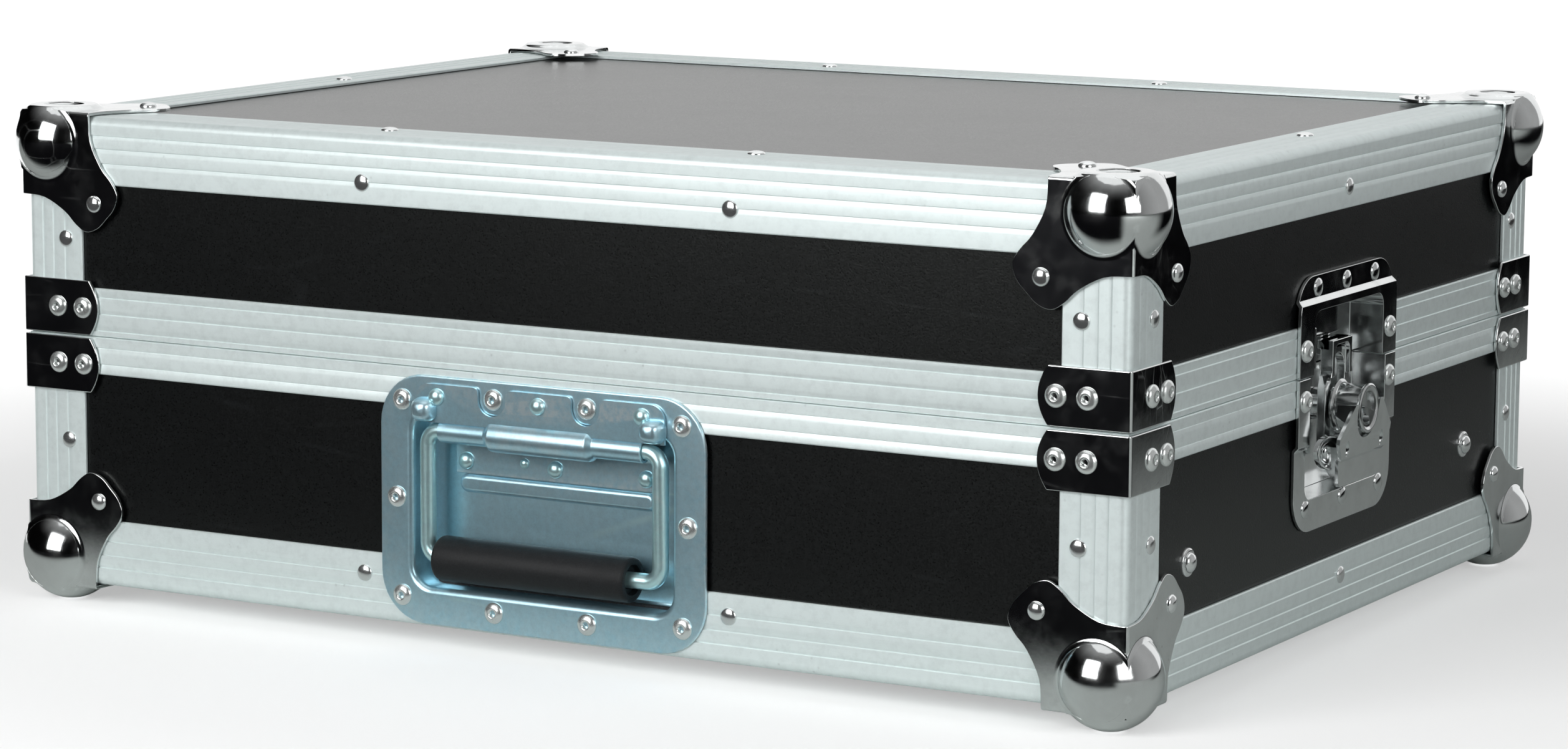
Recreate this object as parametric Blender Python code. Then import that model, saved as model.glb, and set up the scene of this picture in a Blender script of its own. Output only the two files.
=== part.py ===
"""A flight case for a table mixer: a base with a lift-off lid, a sprung handle and two butterfly latches.

The case stands on its ball corners. X runs along the handle face, Y from the handle face to the back, Z up.
"Out" is a distance outward from the outer face of the extrusions, and "in" is the same distance inward.
"""

import math

import bmesh
import bpy
from mathutils import Matrix, Vector

# Overall box, over the aluminium extrusions, in metres
CASE_WIDTH = 0.544
CASE_DEPTH = 0.431
SPLIT = 0.1124
LID_HEIGHT = 0.0980
CASE_HEIGHT = SPLIT + LID_HEIGHT

# Gap between pieces that touch, and between a pressed dish and the opening cut for it
FIT = 0.0003
CUT_CLEARANCE = 0.0005

# Edge extrusions, closing extrusions, panels and foam
LEG = 0.030
SHEET = 0.0015
EDGE_ROUND = 0.003
GROOVES = (0.0150, 0.0210)
GROOVE_DEPTH = 0.0005
PANEL = 0.007
BASE_RIM_LEG = 0.0167
LID_RIM_LEG = 0.0218
TONGUE = 0.003
TONGUE_HEIGHT = 0.004
TONGUE_CLEARANCE = 0.0004
FOAM = 0.010

# Ball corners
BALL_RADIUS = 0.0218
BALL_INSET = 0.012
BALL_FLAT_OUT = 0.0038
BALL_DIMPLE_RADIUS = 0.00875
BALL_DIMPLE_DEPTH = 0.0012
BALL_SIDES = 16
BALL_RINGS = 10
LOBE = (
    (0.0360, 0.0000),
    (0.0370, 0.0110),
    (0.0426, 0.0220),
    (0.0480, 0.0280),
    (0.0512, 0.0337),
    (0.0495, 0.0400),
    (0.0450, 0.0450),
)

# Corner braces beside the split
BRACE_LEG = 0.0395
BRACE_HEIGHT = 0.0245
BRACE_BOW = 0.0045
BRACE_FROM_SPLIT = 0.0006

# Handle: flange plate, pressed dish and its stiffening bead
HANDLE_WIDTH = 0.162
HANDLE_HEIGHT = 0.108
HANDLE_UNDER_SPLIT = 0.0027
HANDLE_ROUND = 0.022
DISH_FLANGE = 0.0165
DISH_UNDER_TOP = 0.0167
DISH_HEIGHT = 0.075
DISH_DEPTH = 0.012
DISH_SHEET = 0.0012
DISH_ROUND = 0.009
BEAD_LENGTH = 0.094
BEAD_HEIGHT = 0.0065
BEAD_RISE = 0.0014
BEAD_UNDER_STRIP = 0.0013

# Handle: hinge cover with its barrels, and the strip that holds it to the dish floor
COVER_INSIDE_DISH = 0.0025
COVER_UNDER_TOP = 0.0032
COVER_OVER_DISH = 0.003
RIVET_U = 0.0233
RIVET_UNDER_TOP = 0.008
SCALLOP = 0.007
EYE_WIDTH = 0.0095
EYE_RISE = 0.009
EYE_HEIGHT = 0.0082
BARREL = 0.0050
BARREL_INSIDE_BAIL = 0.0075
SPRING_BARREL = 0.0069
SPRING_BARREL_LENGTH = 0.049
SPRING_BARREL_SHEET = 0.0011
STRIP_WIDTH = 0.100
STRIP_REACH = 0.019

# Handle: bail, grip and return spring
BAIL_OUT = -0.0005
BAIL_UNDER_DISH = 0.007
BAIL_INSIDE_DISH = 0.0065
BAIL_ROD = 0.0035
BAIL_BEND = 0.006
ROD_CLEARANCE = 0.00035
GRIP_RADIUS = 0.00975
GRIP_LENGTH = 0.100
GRIP_SHIFT = -0.0012
GRIP_ROUND = 0.0015
GRIP_OVER_DISH = 0.00325
SPRING_WIRE = 0.0007
SPRING_TURNS = 7
SPRING_LENGTH = 0.040

# Latch plates and their dishes, placed from the split
LATCH_WIDTH = 0.105
LATCH_UNDER_SPLIT = 0.0674
LATCH_OVER_SPLIT = 0.0426
LATCH_ROUND = 0.017
LOWER_STEP_UNDER_RIM = 0.0125
UPPER_STEP_OVER_RIM = 0.0093
STEP_RUN = 0.0025
LOWER_DISH_WIDTH = 0.082
LOWER_DISH_FLANGE = 0.014
UPPER_DISH_WIDTH = 0.075
UPPER_DISH_FLANGE = 0.015
LATCH_DEPTH = 0.014
LATCH_DISH_ROUND = 0.006

# Latch spindle: pivot pin, shank, collar, drum and slotted head
SPINDLE_UNDER_SPLIT = 0.0178
PIVOT_PIN = 0.0036
SHANK_RADIUS = 0.0070
COLLAR_RADIUS = 0.0125
COLLAR_THICK = 0.0017
DRUM_RADIUS = 0.0100
HEAD_RADIUS = 0.0105
HEAD_OUT = 0.012
HEAD_RIM = 0.0004
KIDNEY_RADII = (0.0036, 0.0072)
KIDNEY_DEPTH = 0.0016
CROSS_PIN = 0.0020
PIN_CLEARANCE = 0.0004

# Latch hook, placed from the spindle
HOOK_OUT = -0.0032
HOOK_THICK = 0.0038
HOOK_LOW = 0.0246
HOOK_SHOULDER = 0.0094
HOOK_NECK = 0.0164
HOOK_HIGH = 0.0294
HOOK_HALF_WIDTH = 0.015
HOOK_TOP_HALF_WIDTH = 0.0125
HOOK_RIM = 0.0030
HOOK_RIM_RISE = 0.0020
HOOK_NOSE = 0.004
HOOK_TRAVEL = 0.009
SLOT_OVER_SPINDLE = 0.0155

# Latch keeper: a raised hood over a window with two posts, and a fluted block beside it
KEEPER_OUT = -0.009
KEEPER_HALF_WIDTH = 0.013
KEEPER_OVER_NOSE = 0.001
KEEPER_HEIGHT = 0.0125
NOSE_CLEARANCE = 0.0004
POST_WIDTH = 0.002
POST_PLACES = (-0.0030, 0.0050)
POST_REACH = 0.0085
FLUTES = 3
FLUTE_PITCH = 0.005
FLUTE_RADIUS = 0.0022
FLUTE_OUT = -0.008
FLUTE_LOW = 0.0011
FLUTE_HIGH = 0.0186

# Latch wing, hinged on the spindle's cross hole; its ears are placed from the spindle
FOLD_OUT = 0.005
WING_SHEET = 0.0016
WING_THROAT = 0.0116
CHEEK_SHEET = 0.0016
CHEEK_GAP = 0.0002
PIN_BITE = 0.0020
SWEEP_CLEARANCE = 0.0004
EAR_RADIUS = 0.0075
EAR_SIDE = 0.021
EAR_DROP = 0.0171
TAIL_SHEET = 0.0015

# Rack strips for a mixer with 19 inch ears
RACK_UNIT = 0.04445
RACK_HOLE_SPAN = 0.4651
RACK_APERTURE = 0.452
RACK_HOLE = 0.0095
RACK_HOLE_STEPS = (-0.015875, 0.0, 0.015875)
RACK_SHEET = 0.002
RACK_LOW = 0.042
RACK_HIGH = 0.066

# Places that follow from the sizes above
GROUND = BALL_RADIUS - BALL_INSET
WALL_IN = SHEET + FIT
WALL_BACK = WALL_IN + PANEL
LINING_IN = WALL_BACK + FIT
RIM_SLOT = WALL_BACK + FIT
RIM_IN = RIM_SLOT + SHEET
RACK_UNITS = int((CASE_DEPTH - 2 * (LINING_IN + FOAM)) / RACK_UNIT)

HANDLE_TOP = SPLIT - HANDLE_UNDER_SPLIT
DISH_WIDTH = HANDLE_WIDTH - 2 * DISH_FLANGE
DISH_HIGH = HANDLE_TOP - DISH_UNDER_TOP
DISH_LOW = DISH_HIGH - DISH_HEIGHT
COVER_WIDTH = DISH_WIDTH - 2 * COVER_INSIDE_DISH
COVER_TOP = HANDLE_TOP - COVER_UNDER_TOP
COVER_LOW = DISH_HIGH - COVER_OVER_DISH
COVER_OUT = FIT + SHEET + FIT
RIVET_Z = HANDLE_TOP - RIVET_UNDER_TOP
BAIL_Z = DISH_HIGH - BAIL_UNDER_DISH
BAIL_WIDTH = DISH_WIDTH - 2 * BAIL_INSIDE_DISH
BAIL_REACH = BAIL_Z - DISH_LOW - GRIP_RADIUS - GRIP_OVER_DISH
BARREL_LENGTH = BAIL_WIDTH - 2 * BARREL_INSIDE_BAIL
STRIP_LOW = BAIL_Z - STRIP_REACH

LATCH_LOW = SPLIT - LATCH_UNDER_SPLIT
LATCH_HIGH = SPLIT + LATCH_OVER_SPLIT
LOWER_STEP = SPLIT - BASE_RIM_LEG - LOWER_STEP_UNDER_RIM
UPPER_STEP = SPLIT + LID_RIM_LEG + UPPER_STEP_OVER_RIM
LOWER_DISH_LOW = LATCH_LOW + LOWER_DISH_FLANGE
UPPER_DISH_HIGH = LATCH_HIGH - UPPER_DISH_FLANGE
LATCH_CUT_DEPTH = LATCH_DEPTH + 2 * DISH_SHEET + CUT_CLEARANCE
SPINDLE_Z = SPLIT - SPINDLE_UNDER_SPLIT
HOOK_TOP = SPINDLE_Z + HOOK_HIGH
KEEPER_LOW = HOOK_TOP + KEEPER_OVER_NOSE
WING_BACK = HOOK_OUT + HOOK_RIM_RISE + SWEEP_CLEARANCE

# Looks: base colour, metallic, roughness
BLACK_PANEL = ((0.020, 0.021, 0.022), 0.0, 0.55)
ALUMINIUM = ((0.78, 0.80, 0.80), 1.0, 0.38)
CHROME = ((0.72, 0.73, 0.74), 1.0, 0.12)
BLUE_ZINC = ((0.52, 0.60, 0.66), 1.0, 0.30)
RUBBER = ((0.015, 0.015, 0.016), 0.0, 0.60)
FOAM_GREY = ((0.040, 0.041, 0.043), 0.0, 0.95)
STEEL = ((0.45, 0.46, 0.47), 1.0, 0.40)


# Frames: each turns (u, v, w) into a point of the case


def front_frame(u, v, w):
    """u along the handle face, v up from the bottom extrusions, w out from the face."""
    return Vector((u, -CASE_DEPTH / 2 - w, GROUND + v))


def side_frame(side):
    """Frame of the right face (side 1), or of the left face (side -1), the right one turned half round."""

    def place(u, v, w):
        return Vector((side * (CASE_WIDTH / 2 + w), side * u, GROUND + v))

    return place


def corner_frame(x_sign, y_sign, is_top):
    """Frame whose three axes run inward from one corner of the box."""

    def place(a, b, c):
        z = CASE_HEIGHT - c if is_top else c
        x = x_sign * (CASE_WIDTH / 2 - a)
        y = y_sign * (CASE_DEPTH / 2 - b)
        return Vector((x, y, GROUND + z))

    return place


# Outlines


def arc(centre, radius, start, end, steps):
    """Points on an arc, angles in degrees, both ends included."""
    points = []
    for step in range(steps + 1):
        angle = math.radians(start + (end - start) * step / steps)
        x = centre[0] + radius * math.cos(angle)
        y = centre[1] + radius * math.sin(angle)
        points.append((x, y))
    return points


def rounded_box(low_u, high_u, low_v, high_v, low_round, high_round, steps=4):
    """A box outline with its lower and its upper corners rounded, or left square where the radius is 0."""
    points = []
    corners = (
        (low_u, low_v, 1, 1, 180, low_round),
        (high_u, low_v, -1, 1, 270, low_round),
        (high_u, high_v, -1, -1, 0, high_round),
        (low_u, high_v, 1, -1, 90, high_round),
    )
    for u, v, to_u, to_v, start, radius in corners:
        if radius == 0:
            points.append((u, v))
            continue
        centre = (u + to_u * radius, v + to_v * radius)
        points.extend(arc(centre, radius, start, start + 90, steps))
    return points


def box(low_u, high_u, low_v, high_v):
    return rounded_box(low_u, high_u, low_v, high_v, 0, 0)


def ribbon(points, thickness):
    """Outline of a bent sheet: the points are its left-hand surface, and the sheet lies to their right."""
    others = []
    for index, point in enumerate(points):
        before = Vector(points[max(index - 1, 0)])
        after = Vector(points[min(index + 1, len(points) - 1)])
        here = Vector(point)
        first = (here - before if index else after - here).normalized()
        second = (after - here if index < len(points) - 1 else here - before).normalized()
        normal = Vector((first.y + second.y, -first.x - second.x)).normalized()
        spread = normal.dot(Vector((first.y, -first.x)))
        others.append(tuple(here + normal * thickness / spread))
    return list(points) + others[::-1]


def mirrored(points):
    """A closed outline from its right half, whose ends face their own mirror image."""
    return list(points) + [(-u, v) for u, v in reversed(points)]


# Solids


def new_object(name, vertices, faces):
    """A closed mesh object with its faces turned outward."""
    mesh = bpy.data.meshes.new(name)
    shape = bmesh.new()
    made = [shape.verts.new(vertex) for vertex in vertices]
    for face in faces:
        shape.faces.new([made[index] for index in face])
    bmesh.ops.remove_doubles(shape, verts=shape.verts, dist=1e-7)
    bmesh.ops.recalc_face_normals(shape, faces=shape.faces)
    shape.to_mesh(mesh)
    shape.free()
    thing = bpy.data.objects.new(name, mesh)
    bpy.context.scene.collection.objects.link(thing)
    return thing


def prism(name, outline, low, high, place, order="uvw"):
    """An outline pushed from low to high along the third axis that order names."""
    vertices = []
    for level in (low, high):
        for first, second in outline:
            given = dict(zip(order, (first, second, level)))
            vertices.append(place(given["u"], given["v"], given["w"]))
    count = len(outline)
    faces = [list(range(count)), list(range(count, 2 * count))]
    for index in range(count):
        following = (index + 1) % count
        faces.append([index, following, following + count, index + count])
    return new_object(name, vertices, faces)


def loft(name, rings, is_closed=False):
    """Rings of points joined one to the next, capped at both ends or closed on themselves."""
    count = len(rings[0])
    vertices = [point for ring in rings for point in ring]
    faces = []
    for step in range(len(rings) if is_closed else len(rings) - 1):
        here = step * count
        there = (step + 1) % len(rings) * count
        for index in range(count):
            following = (index + 1) % count
            faces.append([here + index, here + following, there + following, there + index])
    if not is_closed:
        faces.append(list(range(count)))
        faces.append(list(range(len(vertices) - count, len(vertices))))
    return new_object(name, vertices, faces)


def turned(name, profile, centre, place, order, sides=24):
    """A profile of (radius, level) turned about the third axis of order, from its first end to its last."""
    rings = []
    for radius, level in profile:
        ring = []
        for side in range(sides):
            angle = 2 * math.pi * side / sides
            first = centre[0] + radius * math.cos(angle)
            second = centre[1] + radius * math.sin(angle)
            given = dict(zip(order, (first, second, level)))
            ring.append(place(given["u"], given["v"], given["w"]))
        rings.append(ring)
    return loft(name, rings)


def rod(name, path, radius, sides, is_closed=False):
    """A round bar along a path of points."""
    rings = []
    last = len(path) - 1
    side_way = None
    for index, point in enumerate(path):
        if is_closed:
            along = path[(index + 1) % len(path)] - path[index - 1]
        else:
            along = path[min(index + 1, last)] - path[max(index - 1, 0)]
        along.normalize()
        if side_way is None:
            side_way = along.orthogonal()
        side_way = (side_way - along * side_way.dot(along)).normalized()
        other_way = along.cross(side_way)
        ring = []
        for side in range(sides):
            angle = 2 * math.pi * side / sides
            ring.append(point + radius * (math.cos(angle) * side_way + math.sin(angle) * other_way))
        rings.append(ring)
    return loft(name, rings, is_closed)


def combine(target, tool, operation):
    """Applies an exact Boolean of tool to target, and clears the tool away."""
    modifier = target.modifiers.new(operation, "BOOLEAN")
    modifier.operation = operation
    modifier.solver = "EXACT"
    modifier.object = tool
    bpy.context.view_layer.update()
    graph = bpy.context.evaluated_depsgraph_get()
    mesh = bpy.data.meshes.new_from_object(target.evaluated_get(graph))
    target.modifiers.clear()
    target.data = mesh
    bpy.data.objects.remove(tool)
    return target


def add(target, tool):
    return combine(target, tool, "UNION")


def cut(target, tool):
    return combine(target, tool, "DIFFERENCE")


def keep(target, tool):
    return combine(target, tool, "INTERSECT")


def finish(thing, look, origin=None):
    """Gives a piece its own material and, if it moves, its origin on the joint axis."""
    colour, metallic, roughness = look
    material = bpy.data.materials.new(thing.name + "_surface")
    material.use_nodes = True
    shader = material.node_tree.nodes["Principled BSDF"]
    shader.inputs["Base Color"].default_value = (*colour, 1.0)
    shader.inputs["Metallic"].default_value = metallic
    shader.inputs["Roughness"].default_value = roughness
    thing.data.materials.clear()
    thing.data.materials.append(material)
    if origin is not None:
        thing.data.transform(Matrix.Translation(-origin))
        thing.location = origin
    return thing


# Panels, linings and extrusions


def ring_of_walls(name, low, high):
    """Four panels glued into one ring, seen from above."""
    walls = prism(name, plan_inside(WALL_IN), low, high, upright)
    return cut(walls, prism("hollow", plan_inside(WALL_BACK), low - LEG, high + LEG, upright))


def upright(u, v, w):
    """Plan frame: u is X, v is Y, w is the height over the bottom extrusions."""
    return Vector((u, v, GROUND + w))


def plan_inside(inset):
    """The case's plan, drawn in by inset on all four sides."""
    half_width = CASE_WIDTH / 2 - inset
    half_depth = CASE_DEPTH / 2 - inset
    return box(-half_width, half_width, -half_depth, half_depth)


def flat_panel(name, low, high):
    return prism(name, plan_inside(LINING_IN), low, high, upright)


def lining(name, pad_low, pad_high, wall_low, wall_high):
    """Foam pad with four foam walls, in one piece."""
    low = min(pad_low, wall_low)
    high = max(pad_high, wall_high)
    tray = prism(name, plan_inside(LINING_IN), low, high, upright)
    inside = plan_inside(LINING_IN + FOAM)
    if pad_low == low:
        return cut(tray, prism("inside", inside, pad_high, high + FOAM, upright))
    return cut(tray, prism("inside", inside, low - FOAM, pad_low, upright))


def angle_halves():
    """The two halves of the angle section, as (b, c) distances from the outer edge, split on the diagonal."""
    half = arc((EDGE_ROUND, EDGE_ROUND), EDGE_ROUND, 225, 270, 2)
    for line in GROOVES:
        half.extend([(line - GROOVE_DEPTH, 0.0), (line, GROOVE_DEPTH), (line + GROOVE_DEPTH, 0.0)])
    half.extend([(LEG, 0.0), (LEG, SHEET), (SHEET, SHEET)])
    return half, [(c, b) for b, c in half]


def angle(name, place, start, end):
    """An angle along the first axis of place; start and end give that axis from (b, c)."""
    vertices = []
    faces = []
    half, other = angle_halves()
    count = len(half)
    for edge in (start, end):
        for b, c in half + other:
            vertices.append(place(edge(b, c), b, c))
    for first in (0, 2 * count):
        faces.append(list(range(first, first + count)))
        faces.append(list(range(first + count, first + 2 * count)))
    for first in (0, count):
        for index in range(first, first + count - 1):
            faces.append([index, index + 1, index + 1 + 2 * count, index + 2 * count])
    return new_object(name, vertices, faces)


def mitre(b, c):
    return max(b, c) + FIT / 2


def turned_axes(place, axes):
    """The same frame with its axes taken in another order."""

    def moved(first, second, third):
        given = dict(zip(axes, (first, second, third)))
        return place(given["a"], given["b"], given["c"])

    return moved


def edge_angles(prefix, is_top, reach):
    """The four flat edges and the four posts of the base or of the lid."""
    made = []
    for label, y_sign in (("front", -1), ("back", 1)):
        place = turned_axes(corner_frame(-1, y_sign, is_top), "abc")
        made.append(angle(f"{prefix}_edge_{label}", place, mitre, lambda b, c: CASE_WIDTH - mitre(b, c)))
    for label, x_sign in (("left", -1), ("right", 1)):
        place = turned_axes(corner_frame(x_sign, -1, is_top), "bac")
        made.append(angle(f"{prefix}_edge_{label}", place, mitre, lambda b, c: CASE_DEPTH - mitre(b, c)))
    for label, x_sign, y_sign in CORNERS:
        place = turned_axes(corner_frame(x_sign, y_sign, is_top), "cab")
        made.append(angle(f"{prefix}_post_{label}", place, mitre, lambda b, c: reach))
    return made


CORNERS = (
    ("front_left", -1, -1),
    ("front_right", 1, -1),
    ("back_left", -1, 1),
    ("back_right", 1, 1),
)


def rim(name, section, y_sign, gap):
    """Half of a closing extrusion: one long side and two short ones up to the latches, mitred."""
    stops = (
        (1, lambda u: gap),
        (1, lambda u: CASE_DEPTH / 2 - u),
        (-1, lambda u: CASE_DEPTH / 2 - u),
        (-1, lambda u: gap),
    )
    rings = []
    for x_sign, reach in stops:
        ring = []
        for u, v in section:
            ring.append(Vector((x_sign * (CASE_WIDTH / 2 - u), y_sign * reach(u), GROUND + v)))
        rings.append(ring)
    return loft(name, rings)


def base_rim_section():
    """Channel over the top edge of the walls, with the tongue on top, as (in, height)."""
    low = SPLIT - BASE_RIM_LEG
    middle = RIM_IN / 2
    return [
        (0.0, low),
        (SHEET, low),
        (SHEET, SPLIT - SHEET),
        (RIM_SLOT, SPLIT - SHEET),
        (RIM_SLOT, low),
        (RIM_IN, low),
        (RIM_IN, SPLIT),
        (middle + TONGUE / 2, SPLIT),
        (middle + TONGUE / 2, SPLIT + TONGUE_HEIGHT - SHEET / 2),
        (middle + TONGUE / 2 - SHEET / 2, SPLIT + TONGUE_HEIGHT),
        (middle - TONGUE / 2 + SHEET / 2, SPLIT + TONGUE_HEIGHT),
        (middle - TONGUE / 2, SPLIT + TONGUE_HEIGHT - SHEET / 2),
        (middle - TONGUE / 2, SPLIT),
        (SHEET, SPLIT),
        (0.0, SPLIT - SHEET),
    ]


def lid_rim_section():
    """Channel over the lower edge of the lid's walls, with the groove under it, as (in, height)."""
    low = SPLIT + FIT
    high = SPLIT + LID_RIM_LEG
    middle = RIM_IN / 2
    half_groove = TONGUE / 2 + TONGUE_CLEARANCE
    roof = SPLIT + TONGUE_HEIGHT + TONGUE_CLEARANCE
    return [
        (SHEET / 2, low),
        (middle - half_groove, low),
        (middle - half_groove, roof),
        (middle + half_groove, roof),
        (middle + half_groove, low),
        (RIM_IN, low),
        (RIM_IN, high),
        (RIM_SLOT, high),
        (RIM_SLOT, roof + SHEET),
        (SHEET, roof + SHEET),
        (SHEET, high),
        (0.0, high),
        (0.0, low + SHEET / 2),
    ]


# Corners


def ball(radius, place, flat):
    """A sphere round the ball's centre, cut flat where the ball's top is."""
    profile = []
    for ring in range(BALL_RINGS + 1):
        turn = math.pi * ring / BALL_RINGS
        level = BALL_INSET - radius * math.cos(turn)
        across = max(radius * math.sin(turn), radius * 0.001)
        profile.append((across, level))
    if flat is not None:
        kept = [(across, level) for across, level in profile if level > flat]
        across = math.sqrt(radius**2 - (BALL_INSET - flat) ** 2)
        profile = [(across, flat)] + kept
    return turned("ball", profile, (BALL_INSET, BALL_INSET), place, "uvw", BALL_SIDES)


def ball_corner(name, x_sign, y_sign, is_top):
    """A pressed corner: three lobed plates and a hollow ball. On the lid it has a flat with a dimple."""
    place = corner_frame(x_sign, y_sign, is_top)
    low = -FIT - SHEET
    lobe = list(LOBE) + [(q, p) for p, q in reversed(LOBE[:-1])]
    lobe = [(low, low), (LOBE[0][0], low)] + lobe + [(low, LOBE[0][0])]
    corner = prism(name, lobe, low, SHEET, place, "uvw")
    add(corner, prism("side", lobe, low, SHEET, place, "uwv"))
    add(corner, prism("side", lobe, low, SHEET, place, "vwu"))
    flat = -BALL_FLAT_OUT if is_top else None
    add(corner, ball(BALL_RADIUS, place, flat))
    inner_flat = -BALL_FLAT_OUT + BALL_DIMPLE_DEPTH + SHEET if is_top else None
    cut(corner, ball(BALL_RADIUS - SHEET, place, inner_flat))
    if is_top:
        dimple = [(BALL_DIMPLE_RADIUS, flat - LEG), (BALL_DIMPLE_RADIUS, flat + BALL_DIMPLE_DEPTH)]
        cut(corner, turned("dimple", dimple, (BALL_INSET, BALL_INSET), place, "uvw", 16))
    inside = prism("inside", box(-FIT, 4 * LEG, -FIT, 4 * LEG), -FIT, 4 * LEG, place)
    return cut(corner, inside)


def brace(name, x_sign, y_sign, low):
    """A bent corner plate with bowed ends, from low upward."""
    place = corner_frame(x_sign, y_sign, False)
    start = -FIT - SHEET
    middle = low + BRACE_HEIGHT / 2
    bow = []
    for step in range(7):
        share = step / 3 - 1
        bow.append((BRACE_LEG - BRACE_BOW * share**2, middle + share * BRACE_HEIGHT / 2))
    outline = [(start, low)] + bow + [(start, low + BRACE_HEIGHT)]
    plate = prism(name, outline, start, -FIT, place, "uwv")
    return add(plate, prism("leg", outline, start, -FIT, place, "vwu"))


# Handle


def dish_outline(more):
    half = DISH_WIDTH / 2 + more
    rounding = DISH_ROUND + more
    return rounded_box(-half, half, DISH_LOW - more, DISH_HIGH + more, rounding, rounding)


def handle_plate():
    """The flange plate with its pressed dish and the bead on the dish's floor."""
    half = HANDLE_WIDTH / 2
    low = HANDLE_TOP - HANDLE_HEIGHT
    outline = rounded_box(-half, half, low, HANDLE_TOP, HANDLE_ROUND, HANDLE_ROUND, 5)
    plate = prism("handle_dish", outline, FIT, FIT + SHEET, front_frame)
    back = -DISH_DEPTH - DISH_SHEET
    add(plate, prism("dish", dish_outline(DISH_SHEET), back, FIT + SHEET / 2, front_frame))
    cut(plate, prism("pocket", dish_outline(0), -DISH_DEPTH, LEG, front_frame))
    half = BEAD_LENGTH / 2
    high = STRIP_LOW - BEAD_UNDER_STRIP
    rounding = BEAD_HEIGHT / 2 * 0.9
    bead = rounded_box(-half, half, high - BEAD_HEIGHT, high, rounding, rounding, 3)
    return add(plate, prism("bead", bead, back + DISH_SHEET / 2, -DISH_DEPTH + BEAD_RISE, front_frame))


def cover_outline():
    """The cover's edge, scalloped round the two rivets above the middle barrel."""
    half = COVER_WIDTH / 2
    right = [(RIVET_U - SCALLOP, COVER_TOP)]
    right += arc((RIVET_U, RIVET_Z), SCALLOP, 180, 360, 6)
    right += [(RIVET_U + SCALLOP, COVER_TOP)]
    right += arc((half - SCALLOP, COVER_TOP - SCALLOP), SCALLOP, 90, 0, 4)
    right += [(half, COVER_LOW)]
    return mirrored(right)


def eye_profile():
    """The dome that closes over each end of the bail's hinge, as (out, height)."""
    low = COVER_LOW + DISH_SHEET / 2
    return [
        (COVER_OUT, low),
        (EYE_RISE - DISH_SHEET, low),
        (EYE_RISE, low + DISH_SHEET),
        (EYE_RISE, low + EYE_HEIGHT / 2),
        (EYE_RISE - 1.5 * DISH_SHEET, low + EYE_HEIGHT - DISH_SHEET),
        (COVER_OUT, low + EYE_HEIGHT - DISH_SHEET / 2),
    ]


def handle_cover():
    """The hinge cover: scalloped plate, two domed eyes, three barrels and the strip on the dish floor."""
    half = COVER_WIDTH / 2
    cover = prism("handle_cover", cover_outline(), COVER_OUT, COVER_OUT + DISH_SHEET, front_frame)
    for side in (-1, 1):
        near, far = sorted((side * (half - EYE_WIDTH), side * half))
        add(cover, prism("eye", eye_profile(), near, far, front_frame, "wvu"))
    centre = (BAIL_Z, BAIL_OUT)
    for radius, length in ((BARREL, BARREL_LENGTH), (SPRING_BARREL, SPRING_BARREL_LENGTH)):
        add(cover, straight_bar(radius, length, centre))
    floor = -DISH_DEPTH + FIT + DISH_SHEET
    start = (BAIL_OUT - 0.88 * BARREL, BAIL_Z - 0.2 * BARREL)
    bend = [start, (floor, BAIL_Z - 1.7 * BARREL), (floor, STRIP_LOW)]
    strip = ribbon(bend, DISH_SHEET)
    add(cover, prism("strip", strip, -STRIP_WIDTH / 2, STRIP_WIDTH / 2, front_frame, "wvu"))
    cut(cover, straight_bar(BAIL_ROD + ROD_CLEARANCE, BARREL_LENGTH + LEG, centre))
    spring_room = SPRING_BARREL_LENGTH - 2 * SPRING_BARREL_SHEET
    return cut(cover, straight_bar(SPRING_BARREL - SPRING_BARREL_SHEET, spring_room, centre))


def straight_bar(radius, length, centre, sides=18):
    """A round bar along the handle face, centred on the case's middle plane."""
    profile = [(radius, -length / 2), (radius, length / 2)]
    return turned("bar", profile, centre, front_frame, "vwu", sides)


def bail():
    """The closed wire bail; its upper side runs through the barrels."""
    half = BAIL_WIDTH / 2
    low = BAIL_Z - BAIL_REACH
    corners = (
        (half, BAIL_Z, -1, -1, 0),
        (-half, BAIL_Z, 1, -1, 90),
        (-half, low, 1, 1, 180),
        (half, low, -1, 1, 270),
    )
    path = []
    for u, v, to_u, to_v, start in corners:
        centre = (u + to_u * BAIL_BEND, v + to_v * BAIL_BEND)
        path.extend(front_frame(x, z, BAIL_OUT) for x, z in arc(centre, BAIL_BEND, start, start + 90, 4))
    return rod("handle_bail", path, BAIL_ROD, 10, True)


def grip():
    """The sleeve on the bail, which sits against the left-hand bend."""
    half = GRIP_LENGTH / 2
    profile = [
        (GRIP_RADIUS - GRIP_ROUND, GRIP_SHIFT - half),
        (GRIP_RADIUS, GRIP_SHIFT - half + GRIP_ROUND),
        (GRIP_RADIUS, GRIP_SHIFT + half - GRIP_ROUND),
        (GRIP_RADIUS - GRIP_ROUND, GRIP_SHIFT + half),
    ]
    centre = (BAIL_Z - BAIL_REACH, BAIL_OUT)
    sleeve = turned("handle_grip", profile, centre, front_frame, "vwu", 24)
    return cut(sleeve, straight_bar(BAIL_ROD + ROD_CLEARANCE, 2 * GRIP_LENGTH, centre, 16))


def return_spring():
    """The coil round the bail inside the middle barrel."""
    radius = BAIL_ROD + ROD_CLEARANCE + SPRING_WIRE
    points_a_turn = 8
    steps = SPRING_TURNS * points_a_turn
    path = []
    for step in range(steps + 1):
        turn = 2 * math.pi * step / points_a_turn
        u = SPRING_LENGTH * (step / steps - 0.5)
        path.append(front_frame(u, BAIL_Z + radius * math.cos(turn), BAIL_OUT + radius * math.sin(turn)))
    return rod("handle_spring", path, SPRING_WIRE, 5)


# Latches


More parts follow.
